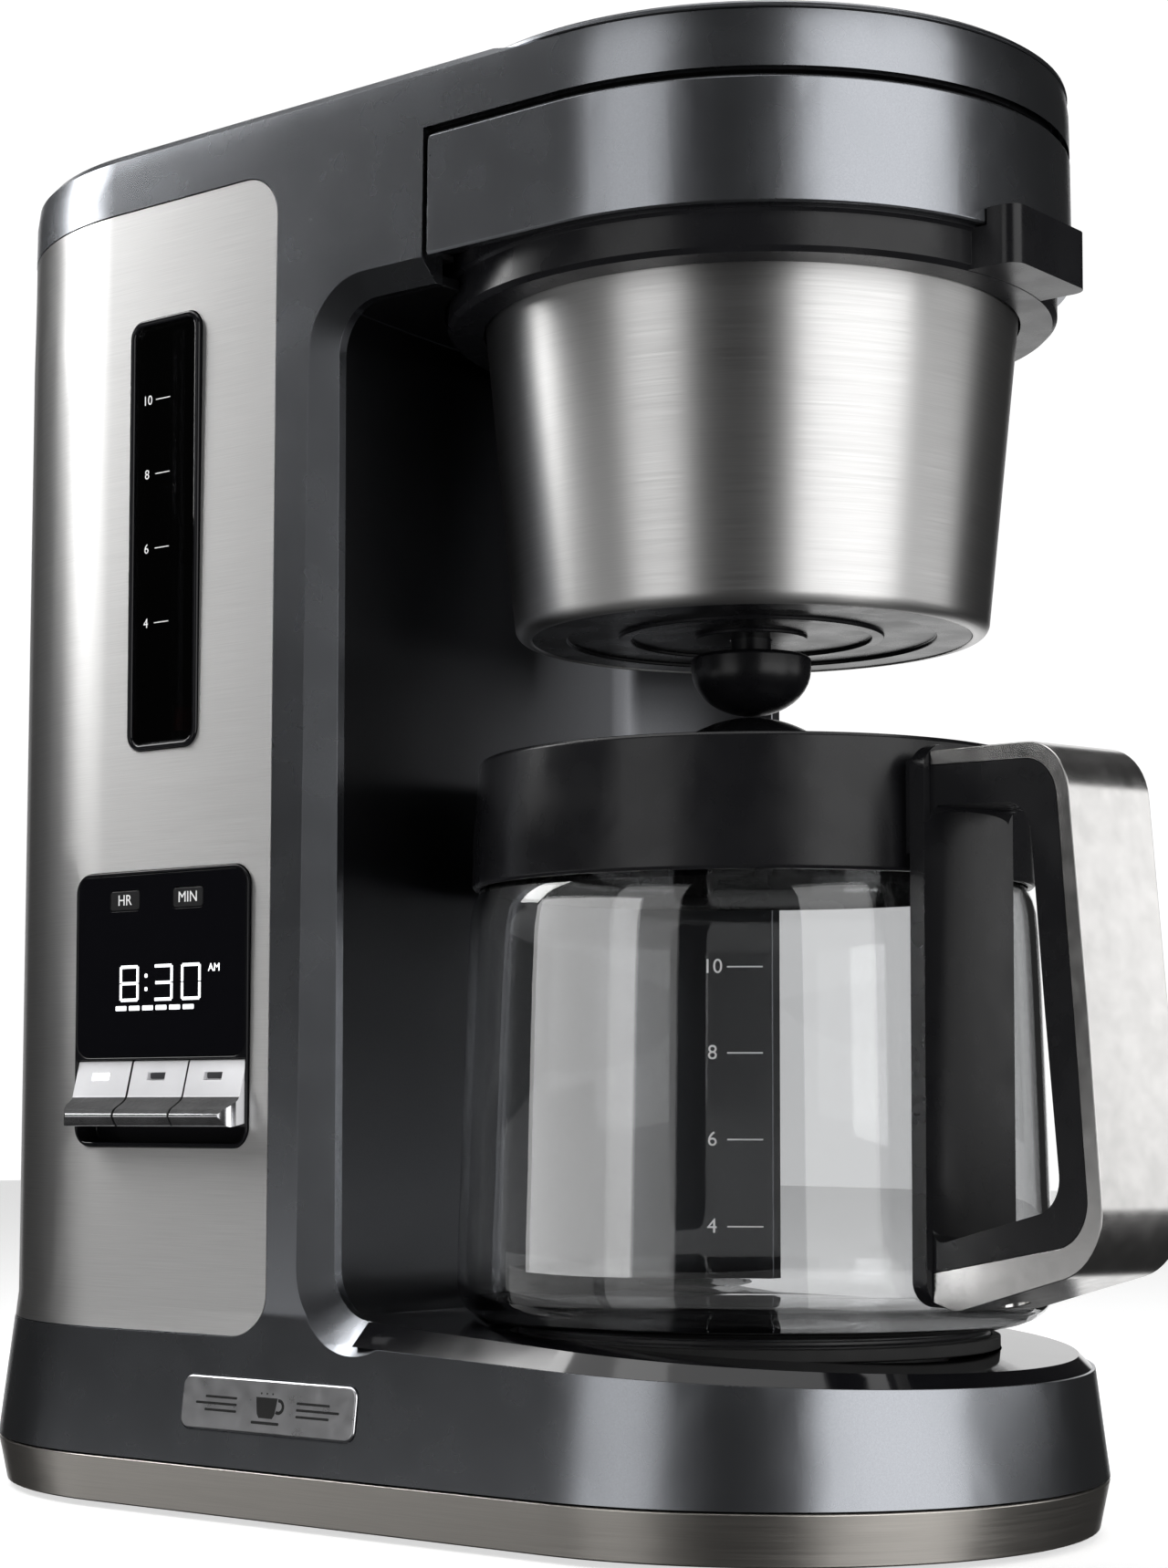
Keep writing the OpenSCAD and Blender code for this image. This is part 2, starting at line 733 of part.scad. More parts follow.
module control_board() {
    color([0.06, 0.3, 0.14]) difference() {
        union() {
            translate([bezel_x0 + 4, -64, 84]) cube([74, 1.6, 84]);
            for (x = [-70, -48, -30]) translate([x, -66, 104]) cube([5, 2, 5]);
            translate([-60, -62.4, 132]) cube([14, 8, 14]);
        }
        for (x = [bezel_x0 + 8, bezel_x0 + 74], z = [88, 164])
            translate([x, -60, z]) rotate([90, 0, 0]) cylinder(r = 1.6, h = 10);
    }
}

module clock_button(x) {
    color([0.1, 0.1, 0.105]) {
        along_y(bezel_y + 0.05, bezel_y + 4) rounded_rect(x - clock_w / 2, clock_z - clock_h / 2, x + clock_w / 2,
            clock_z + clock_h / 2, 0.8);
        translate([x - 1.5, bezel_y + 3.9, clock_z - 1.5]) cube([3, 9, 3]);
    }
}

module hour_button() clock_button(hour_x);
module minute_button() clock_button(minute_x);

// Side of a key, as distance out of the face and height: sloped face, ledge and rounded nose
key_side = round_path([
    [-8, key_z1, 0], [0, key_z1, 0.6], [2.6, key_z0 + 7, 3], [ledge_out - 1, key_z0 + 4.6, 1],
    [ledge_out, key_z0 + 3, 0.8],
    [ledge_out - 1.6, key_z0, 1.4], [-4, key_z0 + 2, 0], [-8, key_z0 + 2, 0]
], 4);

// The row of keys seen from above, with its two outer corners rounded
module key_row() {
    translate([0, 0, key_z0 - 5]) linear_extrude(key_z1 - key_z0 + 10)
        rounded_rect(bezel_x0 + key_margin, face_y - ledge_out - 0.3, bezel_x1 - key_margin, face_y + 20,
            key_end_r);
}

module key(i) {
    x = bezel_x0 + key_margin + i * (key_w + key_gap);
    color([0.85, 0.85, 0.86]) difference() {
        union() {
            intersection() {
                translate([x, face_y - 0.3, 0]) rotate([90, 0, 90]) linear_extrude(key_w)
                    polygon([for (p = key_side) [-p[0], p[1]]]);
                key_row();
            }
            translate([x + 4, key_pivot_y, key_pivot_z]) rotate([0, 90, 0]) cylinder(r = 3.2, h = key_w - 8);
            translate([x + 4, key_pivot_y - 4, key_pivot_z - 1.6]) cube([key_w - 8, 4, 3.2]);
        }
        translate([x - 1, key_pivot_y, key_pivot_z]) rotate([0, 90, 0]) cylinder(r = 1.3, h = key_w + 2);
        // slot of the indicator
        translate([x + key_w / 2 - 4, face_y - 6, key_z0 + 11.9]) cube([6.4, 6, 2]);
    }
}

module brew_key_left() key(0);
module brew_key_middle() key(1);
module brew_key_right() key(2);

module key_pivot_rod() {
    color([0.7, 0.7, 0.72]) {
        translate([bezel_x0 + 0.5, key_pivot_y, key_pivot_z]) rotate([0, 90, 0])
            cylinder(r = 1.25, h = bezel_x1 - bezel_x0 - 1);
        for (x = [bezel_x0 - 2, bezel_x1 - 1]) translate([x, key_pivot_y - 2, key_pivot_z - 3]) cube([3, 6, 6]);
    }
}

// The badge lies on the sloping skirt
badge_x = -10.4;
badge_z = 29.2;
badge_w = 58;
badge_h = 13;
skirt_lean = atan((trim_r - column_r - 0.9) / (skirt_z - trim_top - 0.5));
badge_y = -(trim_r - tan(skirt_lean) * (badge_z - trim_top - 0.5));
module badge_place() {
    translate([badge_x, badge_y, badge_z]) rotate([90 - skirt_lean, 0, 0]) children();
}

module badge() {
    color([0.82, 0.82, 0.84]) badge_place() translate([0, 0, -0.7]) linear_extrude(1.3)
        rounded_rect(-badge_w / 2, -badge_h / 2, badge_w / 2, badge_h / 2, 2.8);
}

module cord_gland() {
    flange = 3.8;
    color([0.05, 0.05, 0.05]) translate([gland_x, gland_y + 0.1, gland_z]) rotate([-90, 0, 0]) difference() {
        union() {
            cylinder(r = 8.5, h = flange);
            translate([0, 0, flange]) cylinder(r1 = 7, r2 = 5.4, h = 4);
            translate([0, 0, -6]) cylinder(r = 5.3, h = 7);
        }
        translate([0, 0, -7]) cylinder(r = 3.3, h = 20);
    }
}

// Top lid

module top_lid() {
    color([0.27, 0.28, 0.30]) {
        at_brew() {
            rotate_extrude() polygon([
                [0, lid_z0], [lid_r - 0.3, lid_z0], [lid_r, lid_z0 + 0.3], [lid_r - 0.2, body_h - 0.9],
                [lid_r - 1.3, body_h - 0.1], [lid_r - 2.4, body_h], [0, body_h]
            ]);
            ring(lid_r - 10.5, lid_r - 8.7, lid_z0 - 3, lid_z0);
        }
        difference() {
            for (y = [-16, 6]) {
                translate([hinge_x, y, hinge_z]) rotate([-90, 0, 0]) cylinder(r = hinge_r, h = 10);
                translate([hinge_x, y, hinge_z - 1.9]) cube([4, 10, 1.8]);
            }
            translate([hinge_x, -30, hinge_z]) rotate([-90, 0, 0]) cylinder(r = hinge_pin_r + 0.05, h = 60);
        }
    }
}

module lid_gasket() {
    color([0.06, 0.06, 0.06]) at_brew() ring(lid_r - 8.6, lid_r - 7.1, lid_z0 - 2, lid_z0);
}

module lid_hinge_bracket() {
    color([0.22, 0.23, 0.25]) difference() {
        union() for (y = [-19.5, -5.6, 16.2]) {
            len = y == -5.6 ? 11.2 : 3.3;
            translate([hinge_x, y, hinge_z]) rotate([-90, 0, 0]) cylinder(r = hinge_r, h = len);
            translate([hinge_x - hinge_r, y, lid_z0 - 0.2]) cube([1.9, len, hinge_z - lid_z0]);
        }
        translate([hinge_x, -30, hinge_z]) rotate([-90, 0, 0]) cylinder(r = hinge_pin_r + 0.05, h = 60);
    }
}

module lid_hinge_pin() {
    color([0.7, 0.7, 0.72]) translate([hinge_x, -19.6, hinge_z]) rotate([-90, 0, 0])
        cylinder(r = hinge_pin_r, h = 39.2);
}

// Brew drawer

module drawer_front() {
    r0 = top_r + 0.5;
    color([0.25, 0.26, 0.28]) intersection() {
        difference() {
            sweep([[0, band_z0], [r0 - 0.4, band_z0], [r0, band_z0 + 0.6], [r0 - 0.3, band_z1 - 0.8],
                [r0 - 1, band_z1], [0, band_z1]]);
            sweep([[0, band_z0 - 1], [r0 - wall, band_z0 - 1], [r0 - wall - 0.3, band_z1 + 1], [0, band_z1 + 1]]);
        }
        along_y(-far, far) rounded_rect(band_x0, band_z0 - 10, 3 * far, band_z1, 2.2);
    }
}

module basket_collar() {
    tab_half = 17;
    tab_z0 = 295.7;
    tab_z1 = 309.5;
    tab_out = 86;
    color([0.03, 0.03, 0.03]) at_brew() difference() {
        union() {
            rotate_extrude() polygon([
                [basket_r1 + 0.5, collar_low], [collar_r - 1.2, collar_low], [collar_r, collar_low + 1.2],
                [collar_r, collar_top - 4.4], [collar_r + 1, collar_top - 3.2], [collar_r + 1, collar_top],
                [basket_r1 + 0.5, collar_top]
            ]);
            translate([0, 0, tab_z0]) linear_extrude(tab_z1 - tab_z0)
                rounded_rect(collar_r - 12, -tab_half, tab_out, tab_half, 4);
        }
        translate([0, 0, 290]) cylinder(r = basket_r1 + 0.5, h = 30);
        translate([0, 0, band_z0 - fit_gap]) cylinder(r = top_r + 0.8, h = 20);
    }
    color([0.03, 0.03, 0.03]) at_brew() ring(basket_r1 + 0.5, collar_r + 1, band_z0 - fit_gap - 0.1, collar_top);
}

module drawer_runners() {
    color([0.65, 0.65, 0.67]) for (side = [0, 1]) mirror([0, side, 0])
        translate([runner_x0, runner_y0, collar_top])
            cube([brew_x + 31 - runner_x0, runner_y1 - runner_y0, runner_h]);
}

module basket_shell() {
    t = 0.9;
    top = 304.6;
    color([0.78, 0.78, 0.79]) at_brew() rotate_extrude() polygon(concat(
        [[basket_r0 - 4, basket_z0]],
        [for (i = [0:6]) [basket_r0 - 3 + 3 * sin(15 * i), basket_z0 + 3 - 3 * cos(15 * i)]],
        [[basket_r1, collar_low + 1], [basket_r1 + 0.3, top], [basket_r1 - t + 0.3, top],
            [basket_r1 - t, collar_low + 1]],
        [[basket_r0 - t, basket_z0 + 3], [basket_r0 - 4, basket_z0 + t]]
    ));
}

module basket_floor() {
    color([0.03, 0.03, 0.03]) at_brew() difference() {
        union() {
            translate([0, 0, basket_z0 + 1.1]) cylinder(r = basket_r0 - 4.3, h = 2);
            ring(46, basket_r0 - 4.3, basket_z0 + 0.2, basket_z0 + 1.2);
            ring(30, 33, basket_z0 + 0.2, basket_z0 + 1.2);
            ring(valve_r + 0.06, 14, basket_z0 + 0.2, basket_z0 + 3.1);
        }
        translate([0, 0, basket_z0 - 2]) cylinder(r = valve_r + 0.06, h = 10);
    }
}

module filter_cup() {
    t = 1.3;
    color([0.06, 0.06, 0.065]) at_brew() difference() {
        rotate_extrude() polygon([
            [0, cup_z0], [57, cup_z0], [basket_r1 - 2.2, collar_low], [basket_r1 - 1.4, collar_top + 0.2],
            [basket_r1 + 3, collar_top + 0.2], [basket_r1 + 3, collar_top + 2], [basket_r1 - 2.8, collar_top + 2],
            [basket_r1 - 2.2 - t, collar_low], [57 - t, cup_z0 + t], [0, cup_z0 + t]
        ]);
        for (i = [0:5]) rotate([0, 0, i * 60]) translate([9, 0, cup_z0 - 1]) cylinder(r = 2, h = 5);
        // flats beside the runners
        for (side = [0, 1]) mirror([0, side, 0])
            translate([-80, runner_y0 - 0.2, collar_top - 1]) cube([160, 10, 5]);
    }
}

module filter_cone() {
    color([0.8, 0.68, 0.35]) at_brew() rotate_extrude() polygon([
        [0, cup_z0 + 6], [34, cup_z0 + 6], [basket_r1 - 4.4, collar_top - 2], [basket_r1 - 5.2, collar_top - 2],
        [33.4, cup_z0 + 6.8], [0, cup_z0 + 6.8]
    ]);
}

// The drip stop: a half dome under the basket, on a stem that a spring pushes down
module drip_stop() {
    dome = 14.9;
    height = 11.5;
    steps = 10;
    flange_z = basket_z0 + 3.3;
    color([0.02, 0.02, 0.02]) at_brew() rotate_extrude() polygon(concat(
        [[0, valve_low]],
        [for (i = [1:steps]) [dome * sin(90 * i / steps), valve_low + height - height * cos(90 * i / steps)]],
        [[dome, valve_low + height + 2.6], [dome - 1, valve_low + height + 3.4], [valve_r, valve_low + height + 3.4]],
        [[valve_r, flange_z], [9, flange_z], [9, flange_z + 1.5], [3.4, flange_z + 1.5], [3.4, flange_z + 8],
            [0, flange_z + 8]]
    ));
}

// Compression spring above the stem's flange
module drip_spring() {
    z0 = basket_z0 + 4.9;
    z1 = cup_z0 - 0.1;
    wire = 0.45;
    coil_r = 5.6;
    turns = 5;
    per_turn = 16;
    sides = 6;
    rings = turns * per_turn;
    pitch = (z1 - z0 - 2 * wire) / turns;
    points = [
        for (i = [0:rings], k = [0:sides - 1])
            let (a = 360 * i / per_turn, b = 360 * k / sides, r = coil_r + wire * cos(b))
            [r * cos(a), r * sin(a), z0 + wire + pitch * i / per_turn + wire * sin(b)]
    ];
    sides_faces = [
        for (i = [0:rings - 1], k = [0:sides - 1])
            let (n = (k + 1) % sides)
            [i * sides + k, i * sides + n, (i + 1) * sides + n, (i + 1) * sides + k]
    ];
    caps = [[for (k = [sides - 1:-1:0]) k], [for (k = [0:sides - 1]) rings * sides + k]];
    color([0.8, 0.8, 0.82]) at_brew() polyhedron(points, concat(sides_faces, caps), convexity = 10);
}

// Carafe

// Outside of the glass from the heel to the rim, as radius and height
glass_side = [
    [66, glass_z0 + 1.4], [69.6, glass_z0 + 2.8], [71.9, glass_z0 + 4.8], [glass_r, glass_z0 + 8],
    [glass_r - 0.05, glass_z0 + 14],
    [glass_r - 0.7, 85], [glass_r - 1.8, 118], [glass_r - 2.8, 146], [glass_r - 3.6, 151.5],
    [neck_r + 0.9, collar_z0 - 0.6],
    [neck_r, collar_z0 + 2.5], [neck_r, glass_top]
];
module carafe_glass() {
    inner = [for (i = [len(glass_side) - 1:-1:2])
        [glass_side[i][0] - glass_wall, glass_side[i][1] + (i < 4 ? 1.6 : 0)]];
    color([0.8, 0.85, 0.86, 0.35]) at_brew() rotate_extrude() polygon(concat(
        [[0, glass_z0 + 1.4], [50, glass_z0 + 0.9], [54, glass_z0], [60, glass_z0 + 0.1]], glass_side, inner,
        [[64, glass_z0 + 4.4], [56, glass_z0 + 3.6], [0, glass_z0 + 4.2]]
    ));
}

module carafe_collar() {
    color([0.03, 0.03, 0.035]) at_brew() rotate_extrude() polygon([
        [neck_r + 0.15, collar_z0 + 3.4], [neck_r + 1.4, collar_z0], [neck_r + 2.6, collar_z0],
        [neck_r + 3.2, collar_z0 + 0.7],
        [neck_r + 3, collar_z0 + 12], [neck_r + 1.5, collar_z1 - 0.8], [neck_r + 0.9, collar_z1],
        [neck_r + 0.5, collar_z1],
        [neck_r + 0.15, collar_z1 - 0.5]
    ]);
}

module carafe_lid() {
    color([0.03, 0.03, 0.03]) at_brew() difference() {
        union() {
            translate([0, 0, collar_z1 - 2.6]) cylinder(r = neck_r - 0.2, h = 2.3);
            ring(neck_r - glass_wall - 3.4, neck_r - glass_wall - 1.6, collar_z1 - 14, collar_z1 - 2.6);
            intersection() {
                translate([0, 0, dome_top - dome_r]) sphere(dome_r);
                translate([0, 0, collar_z1 - 1]) cylinder(r = 40, h = 30);
            }
            translate([-3, 30, collar_z1 - 0.4]) cube([6, 24, 2.2]);
        }
        intersection() {
            translate([0, 0, dome_top - dome_r]) sphere(dome_r - 2);
            translate([0, 0, collar_z1 - 0.8]) cylinder(r = 40, h = 30);
        }
        translate([0, 0, collar_z1 - 4]) cylinder(r = 4, h = 4);
        translate([0, 0, dome_top - 4]) cylinder(r = 2.2, h = 6);
    }
}

module lid_seal() {
    color([0.5, 0.5, 0.5]) at_brew()
        ring(neck_r - glass_wall - 1.5, neck_r - glass_wall - 0.35, collar_z1 - 10, collar_z1 - 7);
}

module at_handle() at_brew() rotate([0, 0, handle_angle]) children();

// A side outline of the handle, as distance from the brew axis and height, given its width
module handle_slab(pts, w) {
    rotate([90, 0, 0]) translate([0, 0, -w / 2]) linear_extrude(w) polygon(pts);
}

// Outer edge of the handle from the collar around to the foot of the strap
grip_steps = 10;
shell_t = 3.4;
handle_outer = [
    [70, 182.7, 0], [118.5, 181.2, 13], [124.6, 122, 60], [129, 68.5, 15], [84, 56.5, 9], [76.2, 58.6, 0]
];
handle_mid = [
    [70, 179.4, 0], [115.2, 177.6, 10], [120.4, 122, 60], [124.6, 73.4, 10.5], [78, 65.2, 0], [76.2, 64.6, 0]
];
// Screw from below through the foot of the handle
screw_s = 90;
screw_z = 61.5;
handle_hole = [[76.9, 170, 3], [107.6, 168.5, 8], [112, 122, 60], [116.4, 80.6, 8], [76.9, 71, 3]];

module handle_shell() {
    color([0.85, 0.85, 0.86]) at_handle() difference() {
        handle_slab(round_path(concat(handle_outer, [[70, 120, 0]]), grip_steps), handle_w);
        handle_slab(round_path(concat(handle_mid, [[70, 120, 0]]), grip_steps), handle_w + 2);
        cylinder(r = 78.1, h = 200);
        translate([screw_s, 0, screw_z - 10]) cylinder(r = 3.3, h = 10);
        translate([screw_s, 0, screw_z - 1]) cylinder(r = 1.4, h = 12);
    }
}

module handle_liner() {
    inset = [
        [70, 179.3, 0], [115.1, 177.5, 10], [120.3, 122, 60], [124.5, 73.5, 10.5], [78, 65.3, 0], [70, 63.6, 0]
    ];
    color([0.03, 0.03, 0.03]) at_handle() difference() {
        handle_slab(round_path(inset, grip_steps), handle_w - 0.2);
        handle_slab(round_path(handle_hole, grip_steps), handle_w + 2);
        translate([0, 0, 50]) cylinder(r = 77.9, h = 140);
        translate([screw_s, 0, screw_z - 1]) cylinder(r = 1.35, h = 12.4);
    }
}

module handle_strap() {
    half = 14;
    z0 = 57;
    color([0.03, 0.03, 0.03]) at_handle() intersection() {
        difference() {
            translate([0, 0, z0]) cylinder(r = 77.8, h = collar_z1 - 3 - z0);
            translate([0, 0, z0 - 1]) cylinder(r = glass_r + 0.25, h = 200);
        }
        translate([60, 0, 0]) rotate([90, 0, 90]) linear_extrude(30)
            rounded_rect(-half, z0, half, collar_z1 - 3, 6);
    }
    color([0.03, 0.03, 0.03]) at_handle() intersection() {
        ring(neck_r + 3.3, glass_r + 0.3, collar_z0 + 4, collar_z1 - 6);
        translate([60, -half + 2, 0]) cube([30, 2 * half - 4, 300]);
    }
}

module handle_screw() {
    color([0.7, 0.7, 0.72]) at_handle() translate([screw_s, 0, 0]) difference() {
        union() {
            translate([0, 0, screw_z - 1.6]) cylinder(r = 3.1, h = 1.6);
            translate([0, 0, screw_z - 0.1]) cylinder(r = 1.3, h = 11);
        }
        for (a = [0, 90]) rotate([0, 0, a]) translate([-2.2, -0.45, screw_z - 2]) cube([4.4, 0.9, 1]);
    }
}

base_skirt();
column_shell();
head_cap();
base_trim_ring();
bottom_cover();
feet();
base_screws();
deck();
warming_plate();
plate_seal();
plate_heater();
thermostat();
steel_panel();
bay_liner();
window_frame();
window_lens();
gauge_tube();
gauge_float();
water_tank();
check_valve();
feed_tube();
riser_tube();
head_plate();
shower_head();
fill_tray();
drawer_rails();
display_bezel();
display_lens();
display_module();
control_board();
hour_button();
minute_button();
brew_key_left();
brew_key_middle();
brew_key_right();
key_pivot_rod();
badge();
cord_gland();
top_lid();
lid_gasket();
lid_hinge_bracket();
lid_hinge_pin();
drawer_front();
basket_collar();
drawer_runners();
basket_shell();
basket_floor();
filter_cup();
filter_cone();
drip_stop();
drip_spring();
carafe_glass();
carafe_collar();
carafe_lid();
lid_seal();
handle_strap();
handle_liner();
handle_shell();
handle_screw();
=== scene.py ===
"""The looks of a drip coffee maker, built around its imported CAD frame. Metres, +Z up."""

import json
import math

import bmesh
import bpy
from mathutils import Matrix, Vector


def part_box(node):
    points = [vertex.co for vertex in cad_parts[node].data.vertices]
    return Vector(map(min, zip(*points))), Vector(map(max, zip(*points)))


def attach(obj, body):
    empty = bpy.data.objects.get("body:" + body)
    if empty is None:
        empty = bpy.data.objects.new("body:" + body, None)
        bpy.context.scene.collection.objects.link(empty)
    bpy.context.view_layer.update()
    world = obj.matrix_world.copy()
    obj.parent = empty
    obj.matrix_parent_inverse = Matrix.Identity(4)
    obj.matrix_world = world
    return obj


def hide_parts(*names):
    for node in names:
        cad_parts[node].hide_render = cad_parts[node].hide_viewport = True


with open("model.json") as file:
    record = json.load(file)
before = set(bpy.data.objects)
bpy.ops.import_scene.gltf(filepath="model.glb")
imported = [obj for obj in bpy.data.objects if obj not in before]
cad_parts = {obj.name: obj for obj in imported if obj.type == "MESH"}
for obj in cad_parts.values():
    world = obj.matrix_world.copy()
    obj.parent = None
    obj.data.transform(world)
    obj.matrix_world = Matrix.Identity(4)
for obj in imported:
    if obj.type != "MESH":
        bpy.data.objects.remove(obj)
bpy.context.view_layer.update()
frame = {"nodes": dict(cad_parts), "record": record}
nodes = frame["nodes"]
body_of = {n: b for b, members in frame["record"]["behaviour"]["bodies"].items() for n in members}
slot_of = {s["node"]: s["material_slot"] for s in frame["record"]["subparts"]}

MM = 0.001


# ---------------------------------------------------------------- camera and stage

# azimuth and elevation in degrees, distance, width and height in metres, and radiance; a softbox that
# reaches below the table is there for the reflections in the steel and the lacquer
SOFTBOXES = {
    "front_softbox": (-96, 6, 1.6, 0.80, 2.0, 1.35),
    "right_softbox": (-9, 6, 1.6, 1.55, 2.0, 2.1),
    "low_left_softbox": (-137, -17, 1.6, 1.3, 0.62, 0.62),
    "left_strip": (-154, 35, 0.645, 0.16, 0.45, 8.0),
    "high_softbox": (-150, 64, 1.1, 0.7, 0.5, 2.0),
    "low_right_softbox": (31, 4, 0.63, 0.30, 0.28, 1.3),
    "top_softbox": (60, 84, 1.4, 1.4, 1.4, 2.0),
}
GLASS_PANEL = (-122, 6, 0.9, 0.85, 0.5, 4.5)


def make_camera():
    """A long lens at counter height, looking at the front right corner."""
    yaw, pitch, roll = math.radians(39.56), math.radians(3.488), math.radians(-0.113)
    ahead = Vector((-math.sin(yaw) * math.cos(pitch), math.cos(yaw) * math.cos(pitch), math.sin(pitch)))
    right = Vector((math.cos(yaw), math.sin(yaw), 0))
    up = right.cross(ahead)
    side = right * math.cos(roll) - up * math.sin(roll)
    top = right * math.sin(roll) + up * math.cos(roll)
    data = bpy.data.cameras.new("camera")
    data.sensor_width = 36
    data.lens = 68.86
    data.shift_x = 0.051
    data.shift_y = 0.0949
    data.clip_start = 0.01
    camera = bpy.data.objects.new("camera", data)
    camera.matrix_world = Matrix((side, top, -ahead)).transposed().to_4x4()
    camera.location = (0.50027, -0.61271, 0.09995)
    bpy.context.scene.collection.objects.link(camera)
    bpy.context.scene.camera = camera


def area_light(name, azimuth, elevation, distance, width, height, radiance):
    """A softbox that faces the machine; azimuth 0 is along +X, elevation is above the horizon."""
    turn = math.radians(azimuth)
    rise = math.radians(elevation)
    towards = Vector((math.cos(turn) * math.cos(rise), math.sin(turn) * math.cos(rise), math.sin(rise)))
    aim = Vector((0.02, 0, 0.18))
    data = bpy.data.lights.new(name, "AREA")
    data.shape = "RECTANGLE"
    data.size = width
    data.size_y = height
    data.energy = radiance * math.pi * width * height
    light = bpy.data.objects.new(name, data)
    light.location = aim + distance * towards
    light.rotation_euler = (aim - light.location).to_track_quat("-Z", "Y").to_euler()
    bpy.context.scene.collection.objects.link(light)
    return light


def make_world():
    """A dark studio with a white wall behind the machine, about as wide as the camera's view."""
    world = bpy.data.worlds.new("studio")
    world.use_nodes = True
    bpy.context.scene.world = world
    tree = world.node_tree
    background = tree.nodes["Background"]
    coords = tree.nodes.new("ShaderNodeTexCoord")

    def edge(axis, start, end, fold):
        """Fades in from start to end along an axis; fold takes both sides of it alike."""
        dot = tree.nodes.new("ShaderNodeVectorMath")
        dot.operation = "DOT_PRODUCT"
        dot.inputs[1].default_value = axis
        tree.links.new(coords.outputs["Generated"], dot.inputs[0])
        value = dot.outputs["Value"]
        if fold:
            size = tree.nodes.new("ShaderNodeMath")
            size.operation = "ABSOLUTE"
            tree.links.new(value, size.inputs[0])
            value = size.outputs[0]
        fade = tree.nodes.new("ShaderNodeMapRange")
        fade.interpolation_type = "SMOOTHSTEP"
        fade.inputs["From Min"].default_value = start
        fade.inputs["From Max"].default_value = end
        tree.links.new(value, fade.inputs["Value"])
        return fade.outputs["Result"]

    behind = (-0.637, 0.771, 0)
    across = (0.771, 0.637, 0)
    wall = tree.nodes.new("ShaderNodeMath")
    wall.operation = "MULTIPLY"
    tree.links.new(edge(behind, 0.80, 0.86, False), wall.inputs[0])
    tree.links.new(edge(across, 0.38, 0.33, True), wall.inputs[1])
    brightness = tree.nodes.new("ShaderNodeMapRange")
    brightness.inputs["To Min"].default_value = 0.025
    brightness.inputs["To Max"].default_value = 1.05
    tree.links.new(wall.outputs[0], brightness.inputs["Value"])
    tree.links.new(brightness.outputs["Result"], background.inputs["Strength"])
    background.inputs["Color"].default_value = (1, 1, 1, 1)


def make_lights():
    """The softboxes, and a panel that lights only what is put in the collection it returns."""
    for name, settings in SOFTBOXES.items():
        area_light(name, *settings)
    glass_only = bpy.data.collections.new("glass_only")
    panel = area_light("glass_panel", *GLASS_PANEL)
    panel.light_linking.receiver_collection = glass_only
    return glass_only


def make_floor(finish):
    """A pale table that isn't mirrored in the machine and doesn't block the low softboxes."""
    half = 3.0
    corners = [(-half, -half, 0), (half, -half, 0), (half, half, 0), (-half, half, 0)]
    mesh = bpy.data.meshes.new("floor")
    mesh.from_pydata(corners, [], [(0, 1, 2, 3)])
    mesh.materials.append(finish)
    floor = bpy.data.objects.new("floor", mesh)
    bpy.context.scene.collection.objects.link(floor)
    floor.visible_glossy = False
    floor.visible_shadow = False


# ---------------------------------------------------------------- materials

